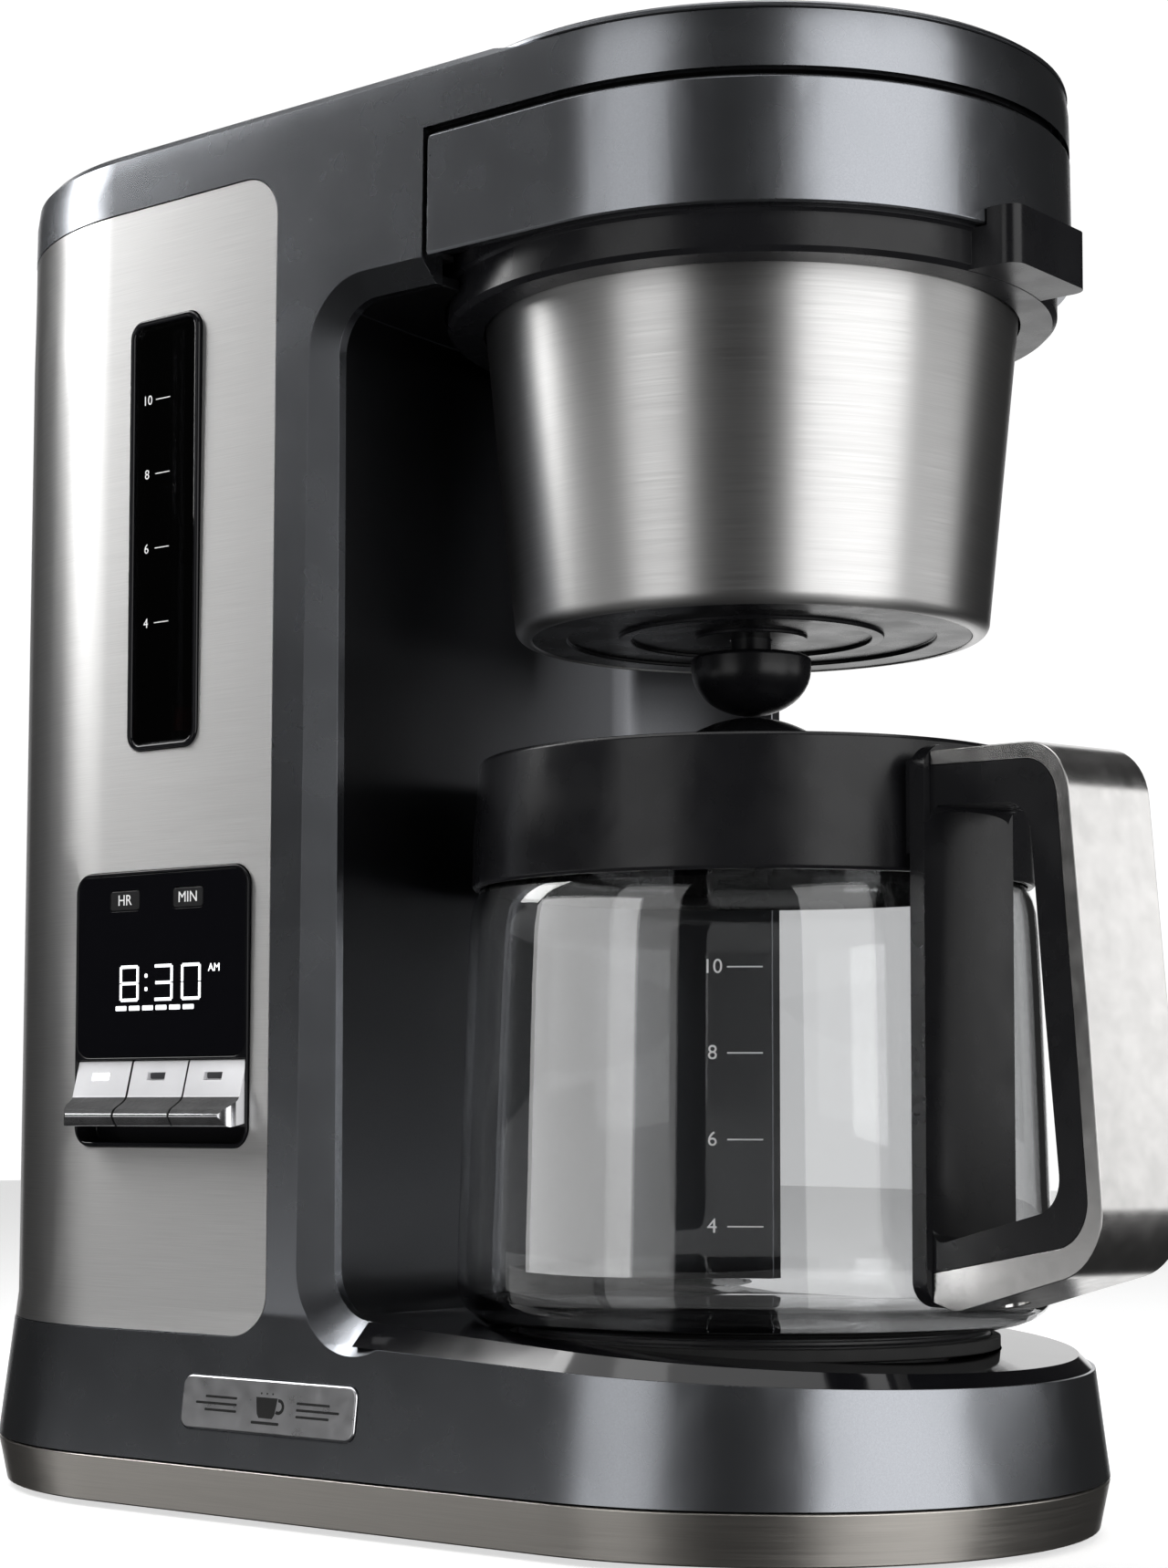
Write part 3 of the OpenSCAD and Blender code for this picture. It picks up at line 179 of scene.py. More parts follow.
class Finish:
    """A procedural material: a Principled shader with noise that drives colour, roughness and bump."""

    def __init__(self, name, color, roughness, metallic=0.0, **sockets):
        self.material = bpy.data.materials.new(name)
        self.material.use_nodes = True
        self.tree = self.material.node_tree
        self.shader = self.tree.nodes["Principled BSDF"]
        self.set("Base Color", (*color, 1))
        self.set("Roughness", roughness)
        self.set("Metallic", metallic)
        for socket, value in sockets.items():
            self.set(socket.replace("_", " "), value)
        self.color = color
        self.roughness = roughness
        self.coords = self.tree.nodes.new("ShaderNodeTexCoord")

    def set(self, socket, value):
        """Sets a socket of the shader to a plain value."""
        self.shader.inputs[socket].default_value = value

    def link(self, output, target):
        """Joins an output to a socket."""
        self.tree.links.new(output, target)

    def noise(self, scale, stretch=(1, 1, 1), detail=3.0):
        """Noise in object space; a small stretch value draws it out along that axis."""
        mapping = self.tree.nodes.new("ShaderNodeMapping")
        mapping.inputs["Scale"].default_value = stretch
        texture = self.tree.nodes.new("ShaderNodeTexNoise")
        texture.inputs["Scale"].default_value = scale
        texture.inputs["Detail"].default_value = detail
        self.link(self.coords.outputs["Object"], mapping.inputs["Vector"])
        self.link(mapping.outputs["Vector"], texture.inputs["Vector"])
        return texture.outputs["Fac"]

    def span(self, value, low, high):
        """Spreads the middle of a noise's range, where most of it lies, from low to high."""
        node = self.tree.nodes.new("ShaderNodeMapRange")
        node.inputs["From Min"].default_value = 0.3
        node.inputs["From Max"].default_value = 0.7
        node.inputs["To Min"].default_value = low
        node.inputs["To Max"].default_value = high
        self.link(value, node.inputs["Value"])
        return node.outputs["Result"]

    def vary_roughness(self, value, spread):
        """Lets a noise move the roughness by up to the spread either way."""
        varied = self.span(value, self.roughness - spread, self.roughness + spread)
        self.link(varied, self.shader.inputs["Roughness"])
        return self

    def vary_color(self, value, spread):
        """Lets a noise darken or lighten the colour by up to the spread, as a share of it."""
        mix = self.tree.nodes.new("ShaderNodeMix")
        mix.data_type = "RGBA"
        mix.inputs["A"].default_value = (*(c * (1 - spread) for c in self.color), 1)
        mix.inputs["B"].default_value = (*(c * (1 + spread) for c in self.color), 1)
        self.link(self.span(value, 0, 1), mix.inputs["Factor"])
        self.link(mix.outputs["Result"], self.shader.inputs["Base Color"])
        return self

    def bump(self, value, strength, distance):
        """Lets a noise raise the surface by up to the distance."""
        node = self.tree.nodes.new("ShaderNodeBump")
        node.inputs["Strength"].default_value = strength
        node.inputs["Distance"].default_value = distance
        self.link(value, node.inputs["Height"])
        self.link(node.outputs["Normal"], self.shader.inputs["Normal"])
        return self

    def turn_tangent(self):
        """Runs the shader's tangent around the vertical axis."""
        node = self.tree.nodes.new("ShaderNodeTangent")
        node.direction_type = "RADIAL"
        node.axis = "Z"
        self.link(node.outputs["Tangent"], self.shader.inputs["Tangent"])
        return self


def lacquer(name, color, roughness):
    """Grey metallic lacquer on moulded plastic: fine flake and a faint orange peel."""
    finish = Finish(name, color, roughness, 1.0)
    finish.vary_color(finish.noise(2600, detail=2), 0.04)
    finish.vary_roughness(finish.noise(60), 0.012)
    return finish.bump(finish.noise(420), 0.012, 0.0002)


def moulded(name, color, roughness, grain=1400, depth=0.12, shine=0.5):
    """Moulded plastic or rubber with a spark-eroded grain."""
    finish = Finish(name, color, roughness, Specular_IOR_Level=shine)
    finish.vary_color(finish.noise(35), 0.12)
    finish.vary_roughness(finish.noise(90), 0.05)
    return finish.bump(finish.noise(grain, detail=2), depth, 0.0002)


def polished(name, color, roughness, shine):
    """Glossy black plastic or backed glass with slight unevenness."""
    finish = Finish(name, color, roughness, Specular_IOR_Level=shine)
    finish.vary_roughness(finish.noise(45), 0.02)
    return finish.bump(finish.noise(70, detail=1), 0.012, 0.0004)


def brushed(name, color, roughness, anisotropic):
    """Steel brushed around the body: fine streaks that run level."""
    finish = Finish(name, color, roughness, 1.0, Anisotropic=anisotropic, Anisotropic_Rotation=0.25)
    level = (0.012, 0.012, 1)
    streaks = finish.noise(4200, stretch=level)
    finish.vary_color(streaks, 0.05)
    finish.vary_roughness(finish.noise(2400, stretch=level), 0.03)
    finish.bump(streaks, 0.02, 0.00008)
    return finish.turn_tangent()


def plain_metal(name, color, roughness, spread=0.05):
    """Cast, plated or turned metal with a little unevenness in its gloss."""
    finish = Finish(name, color, roughness, 1.0)
    finish.vary_color(finish.noise(160), 0.06)
    finish.vary_roughness(finish.noise(240), spread)
    return finish.bump(finish.noise(900), 0.03, 0.0001)


def clear(name, color, roughness, ior):
    """Glass or clear plastic with faint waves."""
    finish = Finish(name, color, roughness, Transmission_Weight=1.0, IOR=ior)
    return finish.bump(finish.noise(25, detail=1), 0.01, 0.0005)


def paper(name, value, glow):
    """White paper with a glow of its own, like a light table."""
    finish = Finish(name, (value, value, value), 0.8, Specular_IOR_Level=0.1)
    finish.set("Emission Color", (1, 1, 1, 1))
    finish.set("Emission Strength", glow)
    return finish.vary_color(finish.noise(3), 0.01)


def glowing(name, color, strength):
    """A lit segment or lamp."""
    finish = Finish(name, color, 0.4)
    finish.set("Emission Color", (*color, 1))
    finish.set("Emission Strength", strength)
    return finish.vary_roughness(finish.noise(400), 0.05)


def make_finishes():
    """The materials, by the name of the record's slot or of the detail that they are for."""
    made = {
        "housing_grey": lacquer("grey_lacquer", (0.275, 0.285, 0.305), 0.27),
        "liner_grey": lacquer("liner_lacquer", (0.14, 0.143, 0.152), 0.30),
        "trim_satin": brushed("satin_trim", (0.60, 0.57, 0.53), 0.34, 0.5),
        "brushed_panel": brushed("brushed_steel", (0.66, 0.655, 0.65), 0.43, 0.8),
        "screw_steel": plain_metal("bright_steel", (0.55, 0.55, 0.56), 0.3),
        "black_matte": moulded("matt_black", (0.007, 0.007, 0.008), 0.5, shine=0.3),
        "black_satin": moulded("satin_black", (0.006, 0.006, 0.007), 0.28, depth=0.04, shine=0.32),
        "black_gloss": polished("gloss_black", (0.005, 0.005, 0.006), 0.07, 0.35),
        "plate_coat": moulded("plate_coating", (0.012, 0.012, 0.013), 0.42, grain=900),
        "foot_rubber": moulded("foot_rubber", (0.02, 0.02, 0.02), 0.8),
        "seal_rubber": moulded("black_rubber", (0.018, 0.018, 0.018), 0.7),
        "heater_aluminium": plain_metal("cast_aluminium", (0.55, 0.55, 0.56), 0.5, 0.1),
        "brass_part": plain_metal("brass", (0.62, 0.45, 0.2), 0.35),
        "float_red": moulded("red_float", (0.5, 0.04, 0.02), 0.35),
        "white_plastic": moulded("white_plastic", (0.7, 0.7, 0.67), 0.4),
        "silicone": moulded("silicone", (0.65, 0.64, 0.58), 0.45),
        "board_green": moulded("board_green", (0.02, 0.16, 0.06), 0.35),
        "gold_mesh": plain_metal("gold_mesh", (0.75, 0.52, 0.2), 0.35, 0.1),
        "key_chrome": plain_metal("satin_chrome", (0.74, 0.74, 0.76), 0.22, 0.03),
        "key_silver": moulded("key_silver", (0.80, 0.80, 0.82), 0.35, depth=0.03),
        "handle_chrome": plain_metal("handle_chrome", (0.70, 0.69, 0.68), 0.24, 0.03),
        "badge_plate": plain_metal("badge_metal", (0.80, 0.80, 0.82), 0.3, 0.03),
        "display_glass": polished("display_glass", (0.003, 0.003, 0.004), 0.05, 0.2),
        "clear_plastic": clear("clear_plastic", (0.9, 0.93, 0.95), 0.05, 1.49),
        "smoked_lens": clear("smoked_lens", (0.12, 0.12, 0.125), 0.04, 1.35),
        "carafe_glass": clear("carafe_glass", (0.70, 0.705, 0.71), 0.0, 1.47),
        "ink_white": moulded("white_ink", (0.85, 0.85, 0.85), 0.5),
        "ink_black": moulded("black_ink", (0.006, 0.006, 0.006), 0.5),
        "grip_black": moulded("grip_black", (0.012, 0.012, 0.013), 0.6, grain=700, depth=0.9),
        "digit_light": glowing("digit_light", (0.95, 0.97, 1.0), 1.1),
        "lamp_light": glowing("lamp_light", (1.0, 1.0, 1.0), 4.0),
        "lamp_off": moulded("lamp_off", (0.05, 0.05, 0.055), 0.3),
        "floor": paper("pale_floor", 0.62, 0.65),
    }
    return {name: finish.material for name, finish in made.items()}


# ---------------------------------------------------------------- building pieces

def add_piece(name, mesh, materials, node, place=Matrix()):
    """Adds a piece that rides on a CAD node's body, with the materials it is given."""
    piece = bpy.data.objects.new(name, mesh)
    bpy.context.scene.collection.objects.link(piece)
    piece.matrix_world = place
    for material in materials:
        mesh.materials.append(material)
    body = body_of[node]
    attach(piece, body)
    return piece


def finish_mesh(bm, mesh):
    """Joins up the flats, marks the creases and writes the result into a mesh."""
    bmesh.ops.remove_doubles(bm, verts=bm.verts, dist=2e-6)
    bmesh.ops.dissolve_degenerate(bm, edges=bm.edges, dist=1e-6)
    bmesh.ops.dissolve_limit(bm, angle_limit=math.radians(0.3), verts=bm.verts, edges=bm.edges)
    crease = math.radians(28)
    for edge in bm.edges:
        edge.smooth = len(edge.link_faces) == 2 and edge.calc_face_angle(math.pi) < crease
    for face in bm.faces:
        face.smooth = True
    bm.to_mesh(mesh)
    bm.free()
    return mesh


def clean_copy(node):
    """The node's shape as a new mesh, with its flats joined up and its creases marked."""
    source = nodes[node].data
    mesh = bpy.data.meshes.new(node + "_shape")
    mesh.from_pydata([v.co for v in source.vertices], [], [list(p.vertices) for p in source.polygons])
    bm = bmesh.new()
    bm.from_mesh(mesh)
    return finish_mesh(bm, mesh)


def joined_copy(names, seams):
    """The shapes of several nodes as one mesh, without the walls that meet at the seams' heights."""
    bm = bmesh.new()
    for name in names:
        bm.from_mesh(nodes[name].data)
    bmesh.ops.remove_doubles(bm, verts=bm.verts, dist=4e-6)
    level = 1e-5
    for height in seams:
        walls = [f for f in bm.faces if all(abs(v.co.z - height) < level for v in f.verts)]
        bmesh.ops.delete(bm, geom=walls, context="FACES")
    return finish_mesh(bm, bpy.data.meshes.new(names[0] + "_joined"))


def soften(piece, width, segments=2):
    """Rounds the piece's edges and evens out its shading."""
    bevel = piece.modifiers.new("edges", "BEVEL")
    bevel.width = width
    bevel.segments = segments
    bevel.limit_method = "ANGLE"
    bevel.angle_limit = math.radians(32)
    normals = piece.modifiers.new("normals", "WEIGHTED_NORMAL")
    normals.keep_sharp = True
    normals.weight = 60


def remake(node, materials, edge, segments=2):
    """Stands for a CAD node with the same shape, soft edges and finished materials."""
    piece = add_piece(node + "_skin", clean_copy(node), materials, node)
    soften(piece, edge, segments)
    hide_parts(node)
    return piece


def lathe(name, outline, finish, node, steps=192):
    """A shape turned about the brewing axis; the closed outline is radius and height, in metres."""
    bm = bmesh.new()
    turns = [2 * math.pi * i / steps for i in range(steps)]
    rings = []
    for radius, height in outline:
        if radius == 0:
            rings.append([bm.verts.new((0, 0, height))])
            continue
        ring = [bm.verts.new((radius * math.cos(t), radius * math.sin(t), height)) for t in turns]
        rings.append(ring)
    for low, high in zip(rings, rings[1:] + rings[:1]):
        for i in range(steps):
            j = (i + 1) % steps
            corners = [low[i % len(low)], low[j % len(low)], high[j % len(high)], high[i % len(high)]]
            unique = list(dict.fromkeys(corners))
            if len(unique) > 2:
                bm.faces.new(unique)
    bmesh.ops.recalc_face_normals(bm, faces=bm.faces)
    for face in bm.faces:
        face.smooth = True
    mesh = bpy.data.meshes.new(name)
    bm.to_mesh(mesh)
    bm.free()
    return add_piece(name, mesh, [finish], node, Matrix.Translation((brew_x, 0, 0)))


def arc(cx, cz, radius, start, end, steps=8):
    """Points of an arc in an outline, from start to end in degrees."""
    turns = [math.radians(start + (end - start) * i / steps) for i in range(steps + 1)]
    return [(cx + radius * math.cos(t), cz + radius * math.sin(t)) for t in turns]


def bar(x0, z0, x1, z1, radius=0.0):
    """A rectangle, or one with rounded corners, as an outline."""
    if radius <= 0:
        return [(x0, z0), (x1, z0), (x1, z1), (x0, z1)]
    left = x0 + radius
    right = x1 - radius
    low = z0 + radius
    high = z1 - radius
    steps = 4
    right_side = arc(right, low, radius, -90, 0, steps) + arc(right, high, radius, 0, 90, steps)
    left_side = arc(left, high, radius, 90, 180, steps) + arc(left, low, radius, 180, 270, steps)
    return right_side + left_side


def plate_mesh(name, outlines, thickness):
    """Flat shapes in X and Z, given as lists of points, with a thickness along Y."""
    bm = bmesh.new()
    for outline in outlines:
        back = [bm.verts.new((x, 0, z)) for x, z in outline]
        front = [bm.verts.new((x, -thickness, z)) for x, z in outline]
        bm.faces.new(back)
        bm.faces.new(list(reversed(front)))
        for i in range(len(outline)):
            j = (i + 1) % len(outline)
            bm.faces.new([back[i], front[i], front[j], back[j]])
    bmesh.ops.recalc_face_normals(bm, faces=bm.faces)
    mesh = bpy.data.meshes.new(name)
    bm.to_mesh(mesh)
    bm.free()
    return mesh


def lettering_mesh(name, text, size, thickness):
    """Generic figures and letters in X and Z, centred, with a small thickness along Y."""
    curve = bpy.data.curves.new(name, "FONT")
    curve.body = text
    curve.size = size
    curve.align_x = "CENTER"
    curve.align_y = "CENTER"
    curve.extrude = thickness / 2
    curve.resolution_u = 6
    maker = bpy.data.objects.new(name, curve)
    bpy.context.scene.collection.objects.link(maker)
    bpy.context.view_layer.update()
    mesh = bpy.data.meshes.new_from_object(maker.evaluated_get(bpy.context.evaluated_depsgraph_get()))
    bpy.data.objects.remove(maker)
    mesh.transform(Matrix.Rotation(math.pi / 2, 4, "X"))
    mesh.materials.clear()
    mesh.name = name
    return mesh


def flat_piece(mesh, finish, node, x, y, z):
    """Puts a flat mesh in front of a node, as a piece with the mesh's name."""
    return add_piece(mesh.name, mesh, [finish], node, Matrix.Translation((x, y, z)))


def cut_into_strips(mesh, step):
    """Cuts a flat mesh into strips along X, so that it can bend."""
    bm = bmesh.new()
    bm.from_mesh(mesh)
    xs = [v.co.x for v in bm.verts]
    for i in range(1, int((max(xs) - min(xs)) / step)):
        geometry = bm.verts[:] + bm.edges[:] + bm.faces[:]
        bmesh.ops.bisect_plane(bm, geom=geometry, plane_co=(min(xs) + i * step, 0, 0), plane_no=(1, 0, 0))
    bm.to_mesh(mesh)
    bm.free()


def wrap_to_glass(mesh, radius, azimuth):
    """Bends a flat mesh in X and Z around the brewing axis, and puts it at an azimuth."""
    for vertex in mesh.vertices:
        turn = azimuth + vertex.co.x / radius
        reach = radius - vertex.co.y
        vertex.co = (brew_x + reach * math.cos(turn), reach * math.sin(turn), vertex.co.z)


# ---------------------------------------------------------------- the machine

# nodes that keep their shape and get soft edges, with the width of the rounding in millimetres
EDGES = {
    "drawer_front": 0.5, "top_lid": 0.3, "lid_hinge_bracket": 0.2, "deck": 0.5, "bay_liner": 0.3,
    "base_trim_ring": 0.4, "bottom_cover": 0.4, "feet": 0.3, "base_screws": 0.1, "warming_plate": 0.3,
    "plate_seal": 0.3, "window_frame": 0.5, "display_bezel": 0.5, "display_lens": 0.25,
    "hour_button": 0.2, "minute_button": 0.2, "basket_collar": 0.5, "basket_floor": 0.25,
    "filter_cup": 0.2, "drawer_rails": 0.2, "drawer_runners": 0.2, "shower_head": 0.3,
    "head_plate": 0.2, "carafe_collar": 0.3, "carafe_lid": 0.4, "handle_strap": 0.6,
    "handle_liner": 0.8, "handle_shell": 1.3, "handle_screw": 0.1, "cord_gland": 0.3,
    "fill_tray": 0.3, "water_tank": 0.4, "window_lens": 0.2, "badge": 0.4, "drip_stop": 0.3,
}
HOUSING = ("base_skirt", "column_shell", "head_cap")
KEYS = ("brew_key_left", "brew_key_middle", "brew_key_right")
REBUILT = (*HOUSING, *KEYS, "carafe_glass", "basket_shell", "steel_panel")

# the marks of the water gauge and the carafe, which have the same pitch
CUPS = ("4", "6", "8", "10")
CUP_PITCH = 19.4 * MM

# how thick printed marks are, and how far they stand off the face behind them
INK = 0.06 * MM
STAND_OFF = 0.03 * MM


def soften_nodes():
    """Gives the nodes in EDGES soft edges; all others but the rebuilt ones keep their CAD mesh."""
    for node, edge in EDGES.items():
        remake(node, [finishes[slot_of[node]]], edge * MM)
    for node, piece in nodes.items():
        if node not in EDGES and node not in REBUILT:
            piece.data.materials.clear()
            piece.data.materials.append(finishes[slot_of[node]])


def make_housing():
    """The three mouldings of the housing under one coat of lacquer."""
    skirt, column, cap = HOUSING
    seams = [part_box(skirt)[1].z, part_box(column)[1].z]
    piece = add_piece("housing_skin", joined_copy(HOUSING, seams), [finishes["housing_grey"]], skirt)
    soften(piece, 0.35 * MM)
    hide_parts(skirt, column, cap)


def make_panel():
    """The steel sheet around the water column, with its edges only just broken."""
    remake("steel_panel", [finishes["brushed_panel"]], 0.15 * MM, 1)


def make_basket():
    """The brushed steel wall of the basket, turned in one piece with a rolled lower edge."""
    low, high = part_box("basket_shell")
    wall = 0.9 * MM
    roll = 3.2 * MM
    flange = 1 * MM
    taper = 7.8 * MM
    collar_height = 8 * MM
    collar_taper = 0.3 * MM
    top_r = high.x - brew_x
    roll_r = top_r - taper - roll
    roll_z = low.z + roll
    collar_z = high.z - collar_height
    collar_r = top_r - collar_taper
    roll_end = -6
    outline = [(roll_r - flange, low.z)]
    outline += arc(roll_r, roll_z, roll, -90, roll_end)
    outline += [(collar_r, collar_z), (top_r, high.z), (top_r - wall, high.z), (collar_r - wall, collar_z)]
    outline += arc(roll_r, roll_z, roll - wall, roll_end, -90)
    outline += [(roll_r - flange, low.z + wall)]
    piece = lathe("basket_shell_skin", outline, finishes["brushed_panel"], "basket_shell")
    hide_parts("basket_shell")


def make_glass(glass_only):
    """The blown glass of the carafe: thick heel, punted bottom and a drawn-in neck."""
    wall = 2.2 * MM
    base_z = glass_low.z
    rim_z = glass_high.z - 0.8 * MM
    outer_r = (glass_high.x - glass_low.x) / 2
    neck_r = outer_r - 6.7 * MM

    # radius and height in millimetres over the base, for an outside radius of 73
    drawn_r = 73 * MM
    heel = [(62.0, 0.4), (66.0, 1.3), (69.0, 2.5), (71.0, 4.0), (72.1, 5.6), (72.7, 7.6), (72.98, 10.5)]
    side = [(72.97, 15), (72.75, 24), (72.35, 34), (71.9, 50), (71.4, 66), (70.9, 82), (70.3, 95)]
    shoulder = [(69.9, 100), (69.2, 103), (68.2, 105.2), (67.2, 106.8), (66.6, 108.6), (66.3, 111)]
    bottom = [(58.0, 3.6), (54.0, 3.5), (50.0, 3.7), (46.0, 4.5), (40.0, 4.9), (20.0, 5.3), (0, 5.4)]
    underside = [(0, 2.6), (20.0, 2.5), (40.0, 2.1), (46.0, 1.5), (50.0, 0.4), (54.0, 0.05), (58.0, 0.0)]

    outer = [(r * MM * outer_r / drawn_r, base_z + z * MM) for r, z in heel + side + shoulder]
    outer += [(neck_r, rim_z)]
    lip = arc(neck_r - wall / 2, rim_z, wall / 2, 0, 180, 6)[1:-1]
    thick_points = 5
    heel_rise = 1.4 * MM
    inner = [(r - wall, z + (heel_rise if i < thick_points else 0)) for i, (r, z) in enumerate(outer)]
    outline = outer + lip + list(reversed(inner[1:]))
    outline += [(r * MM, base_z + z * MM) for r, z in bottom + underside]
    piece = lathe("carafe_glass_skin", outline, finishes["carafe_glass"], "carafe_glass", steps=256)
    glass_only.objects.link(piece)
    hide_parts("carafe_glass")


def make_keys():
    """Keys with a satin face, a ribbed black ledge and a bright lip; each has a small lamp."""
    lip, ledge, face = finishes["key_chrome"], finishes["grip_black"], finishes["key_silver"]
    lip_top = 3.6 * MM
    ledge_top = 7.3 * MM
    lamp_outline = bar(-3.0 * MM, -0.8 * MM, 3.0 * MM, 0.8 * MM, 0.5 * MM)
    lamp_aside = 0.8 * MM
    lamp_inset = 7.9 * MM
    lamp_height = 12.9 * MM
    for node in KEYS:
        low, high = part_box(node)
        piece = remake(node, [lip, ledge, face], 0.2 * MM)
        for polygon in piece.data.polygons:
            height = polygon.center.z - low.z
            polygon.material_index = int(height > lip_top) + int(height > ledge_top)
        lamp = plate_mesh(node.replace("brew_key", "key_lamp"), [lamp_outline], 0.4 * MM)
        light = finishes["lamp_light"] if node == KEYS[0] else finishes["lamp_off"]
        lamp_x = (low.x + high.x) / 2 - lamp_aside
        flat_piece(lamp, light, node, lamp_x, low.y + lamp_inset, low.z + lamp_height)


def clock_figure(segments, x, z):
    """The bars of a seven-segment figure whose lower left corner is at x and z."""
    width, height, stroke = 7.0 * MM, 9.3 * MM, 0.8 * MM
    half = height / 2
    gap = 0.15 * MM
    end = stroke * 0.5
    inset = stroke * 0.6
    middle_inset = stroke * 0.9
    right = x + width
    top = z + height
    bars = {
        "a": bar(x + inset, top - stroke, right - inset, top),
        "b": bar(right - stroke, z + half + gap, right, top - end),
        "c": bar(right - stroke, z + end, right, z + half - gap),
        "d": bar(x + inset, z, right - inset, z + stroke),
        "e": bar(x, z + end, x + stroke, z + half - gap),
        "f": bar(x, z + half + gap, x + stroke, top - end),
        "g": bar(x + middle_inset, z + half - stroke / 2, right - middle_inset, z + half + stroke / 2),
    }
    return [bars[segment] for segment in segments]


def make_clock():
    """Lit figures behind the glass, dashes for the status line and the two button labels."""
    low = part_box("display_lens")[0]
    face_y = low.y - 0.02 * MM
    left = low.x + 15.7 * MM
    base = low.z + 14.1 * MM
    light = finishes["digit_light"]

    colon_x = left + 9.2 * MM
    tens_x = left + 12.4 * MM
    units_x = left + 22.4 * MM
    shapes = clock_figure("abcdefg", left, base)
    shapes += clock_figure("abcdg", tens_x, base)
    shapes += clock_figure("abcdef", units_x, base)
    dot = 1.0 * MM
    for dot_z in (base + 2.6 * MM, base + 6.0 * MM):
        shapes.append(bar(colon_x, dot_z, colon_x + dot, dot_z + dot, 0.3 * MM))
    dash_length = 3.9 * MM
    dash_low = base - 2.3 * MM
    dash_high = base - 1.1 * MM
    for i in range(6):
        dash_x = left + (-1.4 + 4.9 * i) * MM
        shapes.append(bar(dash_x, dash_low, dash_x + dash_length, dash_high, 0.2 * MM))
    flat_piece(plate_mesh("clock_digits", shapes, INK), light, "display_lens", 0, face_y, 0)

    half_mark = lettering_mesh("clock_half_mark", "AM", 2.9 * MM, INK)
    flat_piece(half_mark, light, "display_lens", left + 34.1 * MM, face_y, base + 7.9 * MM)

    for node, text in (("hour_button", "HR"), ("minute_button", "MIN")):
        low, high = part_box(node)
        centre = (low + high) / 2
        label = lettering_mesh(node + "_label", text, 3.9 * MM, INK)
        flat_piece(label, finishes["ink_white"], node, centre.x, low.y - STAND_OFF, centre.z)


def make_window_scale():
    """Cup marks beside the water window: short lines, each with its number before it."""
    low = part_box("window_lens")[0]
    face_y = low.y - STAND_OFF
    figure_x = low.x + 4.4 * MM
    line_x = low.x + 7.5 * MM
    first_z = low.z + 31.1 * MM
    line_outline = bar(0, -0.12 * MM, 5.2 * MM, 0.12 * MM)
    ink = finishes["ink_white"]
    for i, number in enumerate(CUPS):
        z = first_z + i * CUP_PITCH
        line = plate_mesh("window_line_" + number, [line_outline], INK)
        flat_piece(line, ink, "window_lens", line_x, face_y, z)
        figure = lettering_mesh("window_figure_" + number, number, 3.5 * MM, INK)
        flat_piece(figure, ink, "window_lens", figure_x, face_y, z)


def make_carafe_scale():
    """The same marks on the side of the carafe, bent around its glass."""
    first_z = glass_low.z + 26.3 * MM
    first_r = 71.9 * MM
    narrowing = 0.0075
    clearance = 0.25 * MM
    thickness = 0.05 * MM
    azimuth = math.radians(-56.5)
    figure_azimuth = azimuth - 7.4 * MM / first_r
    line_outline = bar(-4.0 * MM, -0.16 * MM, 4.0 * MM, 0.16 * MM)
    ink = finishes["ink_white"]
    for i, number in enumerate(CUPS):
        z = first_z + i * CUP_PITCH
        radius = first_r * (1.0 - narrowing * i) + clearance
        line = plate_mesh("carafe_line_" + number, [line_outline], thickness)
        cut_into_strips(line, 1.0 * MM)
        wrap_to_glass(line, radius, azimuth)
        flat_piece(line, ink, "carafe_glass", 0, 0, z)
        figure = lettering_mesh("carafe_figure_" + number, number, 4.6 * MM, thickness)
        wrap_to_glass(figure, radius, figure_azimuth)
        flat_piece(figure, ink, "carafe_glass", 0, 0, z)


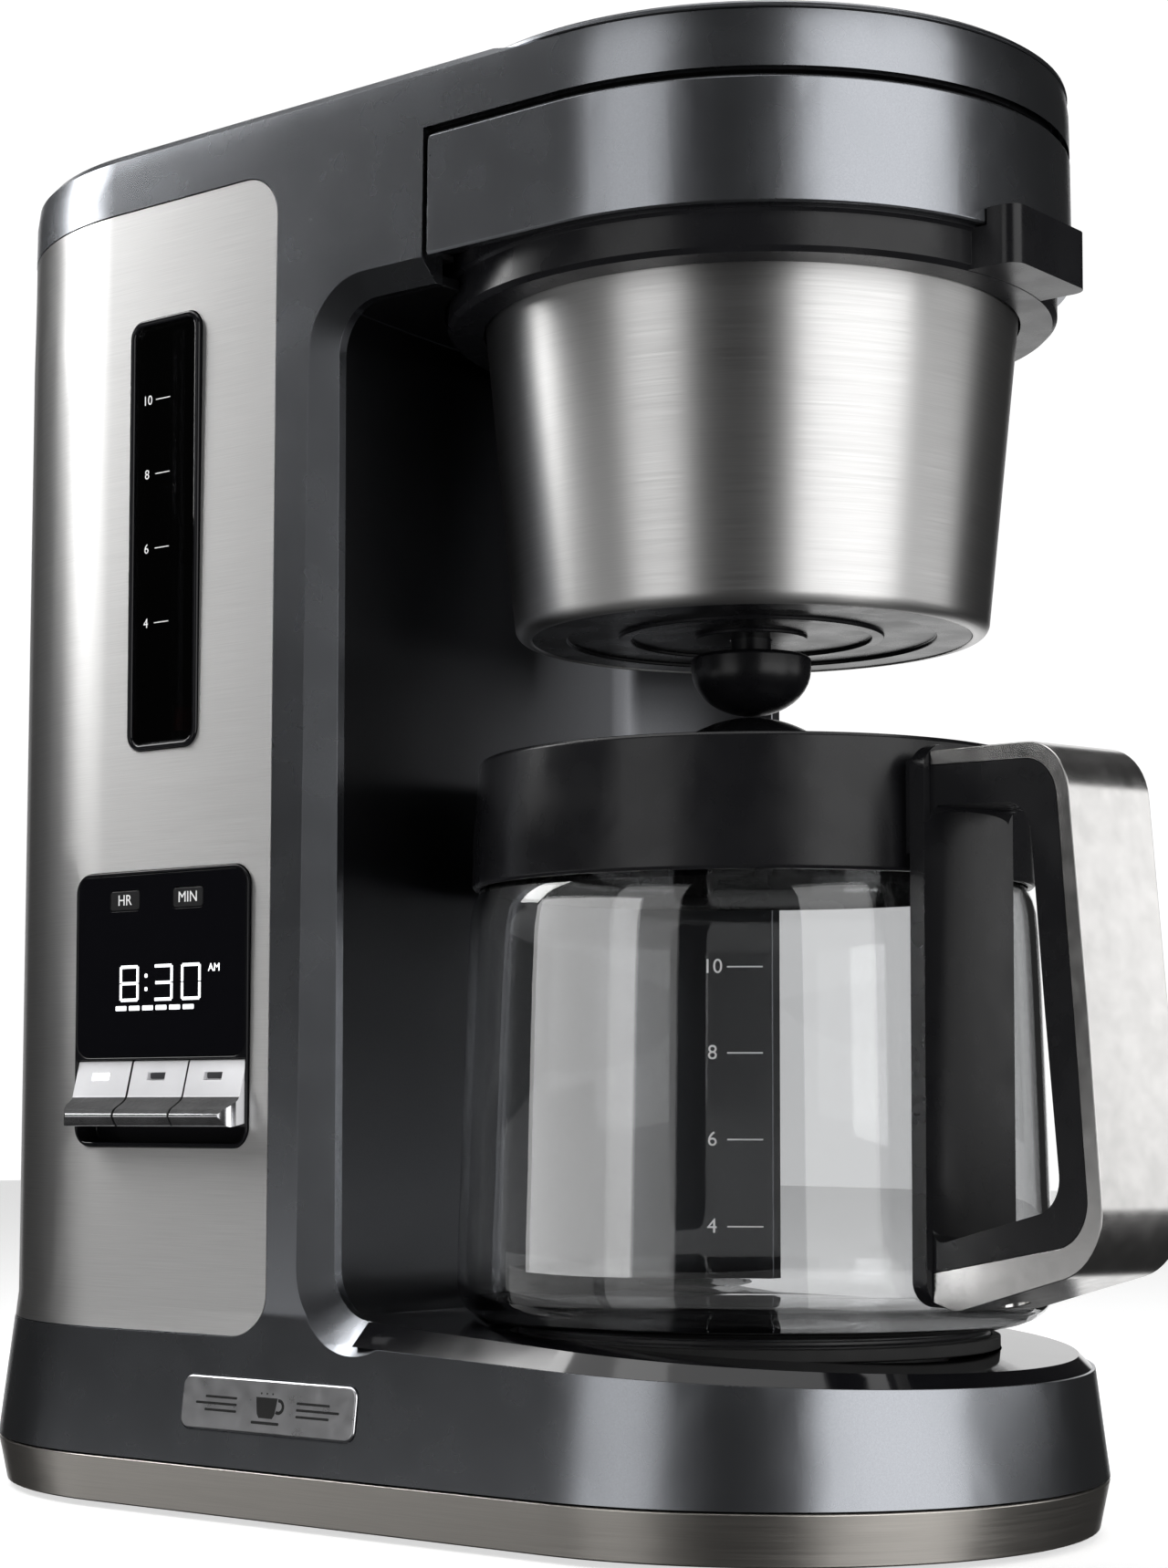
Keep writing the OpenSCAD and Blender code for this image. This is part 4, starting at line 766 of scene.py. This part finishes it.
def cup_outlines():
    """A cup with its handle and saucer, about 9 mm wide, around the origin."""
    cup = [(-3.6, 2.4), (-2.9, -1.6), (-2.2, -2.6), (2.2, -2.6), (2.9, -1.6), (3.6, 2.4)]
    handle = arc(4.1, 0.4, 1.9, 100, -120, 10) + arc(4.1, 0.4, 1.1, -120, 100, 10)
    outlines = [[(x * MM, z * MM) for x, z in cup], [(x * MM, z * MM) for x, z in handle]]
    outlines.append(bar(-4.6 * MM, -4.1 * MM, 4.6 * MM, -3.4 * MM, 0.3 * MM))
    return outlines


def rule_outlines():
    """Three level rules on each side of the cup, the middle ones longest."""
    outlines = []
    inner = 10 * MM
    half = 0.3 * MM
    for side in (-1, 1):
        for z in (-1.6, 0.0, 1.6):
            outer = (24 - abs(z) * 2) * MM
            ends = sorted((side * inner, side * outer))
            outlines.append(bar(ends[0], z * MM - half, ends[1], z * MM + half, 0.25 * MM))
    return outlines


def steam_outlines():
    """Three short strokes over the cup."""
    pitch = 1.9 * MM
    half = 0.25 * MM
    return [bar(i * pitch - half, 3.1 * MM, i * pitch + half, 4.5 * MM, 0.2 * MM) for i in (-1, 0, 1)]


def make_badge_emblem():
    """A steaming cup between rules, inlaid in the badge's leaning face."""
    low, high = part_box("badge")
    centre = (low + high) / 2
    depth, height = high.y - low.y, high.z - low.z
    plate = 1.1 * MM
    proud = 0.62 * MM
    lean = math.atan2(depth - plate, height)
    face_y = low.y + depth / 2 - proud
    place = Matrix.Translation((centre.x, face_y, centre.z)) @ Matrix.Rotation(-lean, 4, "X")
    outlines = cup_outlines() + rule_outlines() + steam_outlines()
    emblem = plate_mesh("badge_emblem", outlines, 0.08 * MM)
    add_piece("badge_emblem", emblem, [finishes["ink_black"]], "badge", place)


# ---------------------------------------------------------------- making

bpy.context.scene.view_settings.view_transform = "Standard"
make_camera()
make_world()
glass_only = make_lights()
finishes = make_finishes()
make_floor(finishes["floor"])

glass_low, glass_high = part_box("carafe_glass")
brew_x = (glass_low.x + glass_high.x) / 2

soften_nodes()
make_housing()
make_panel()
make_basket()
make_glass(glass_only)
make_keys()
make_clock()
make_window_scale()
make_carafe_scale()
make_badge_emblem()
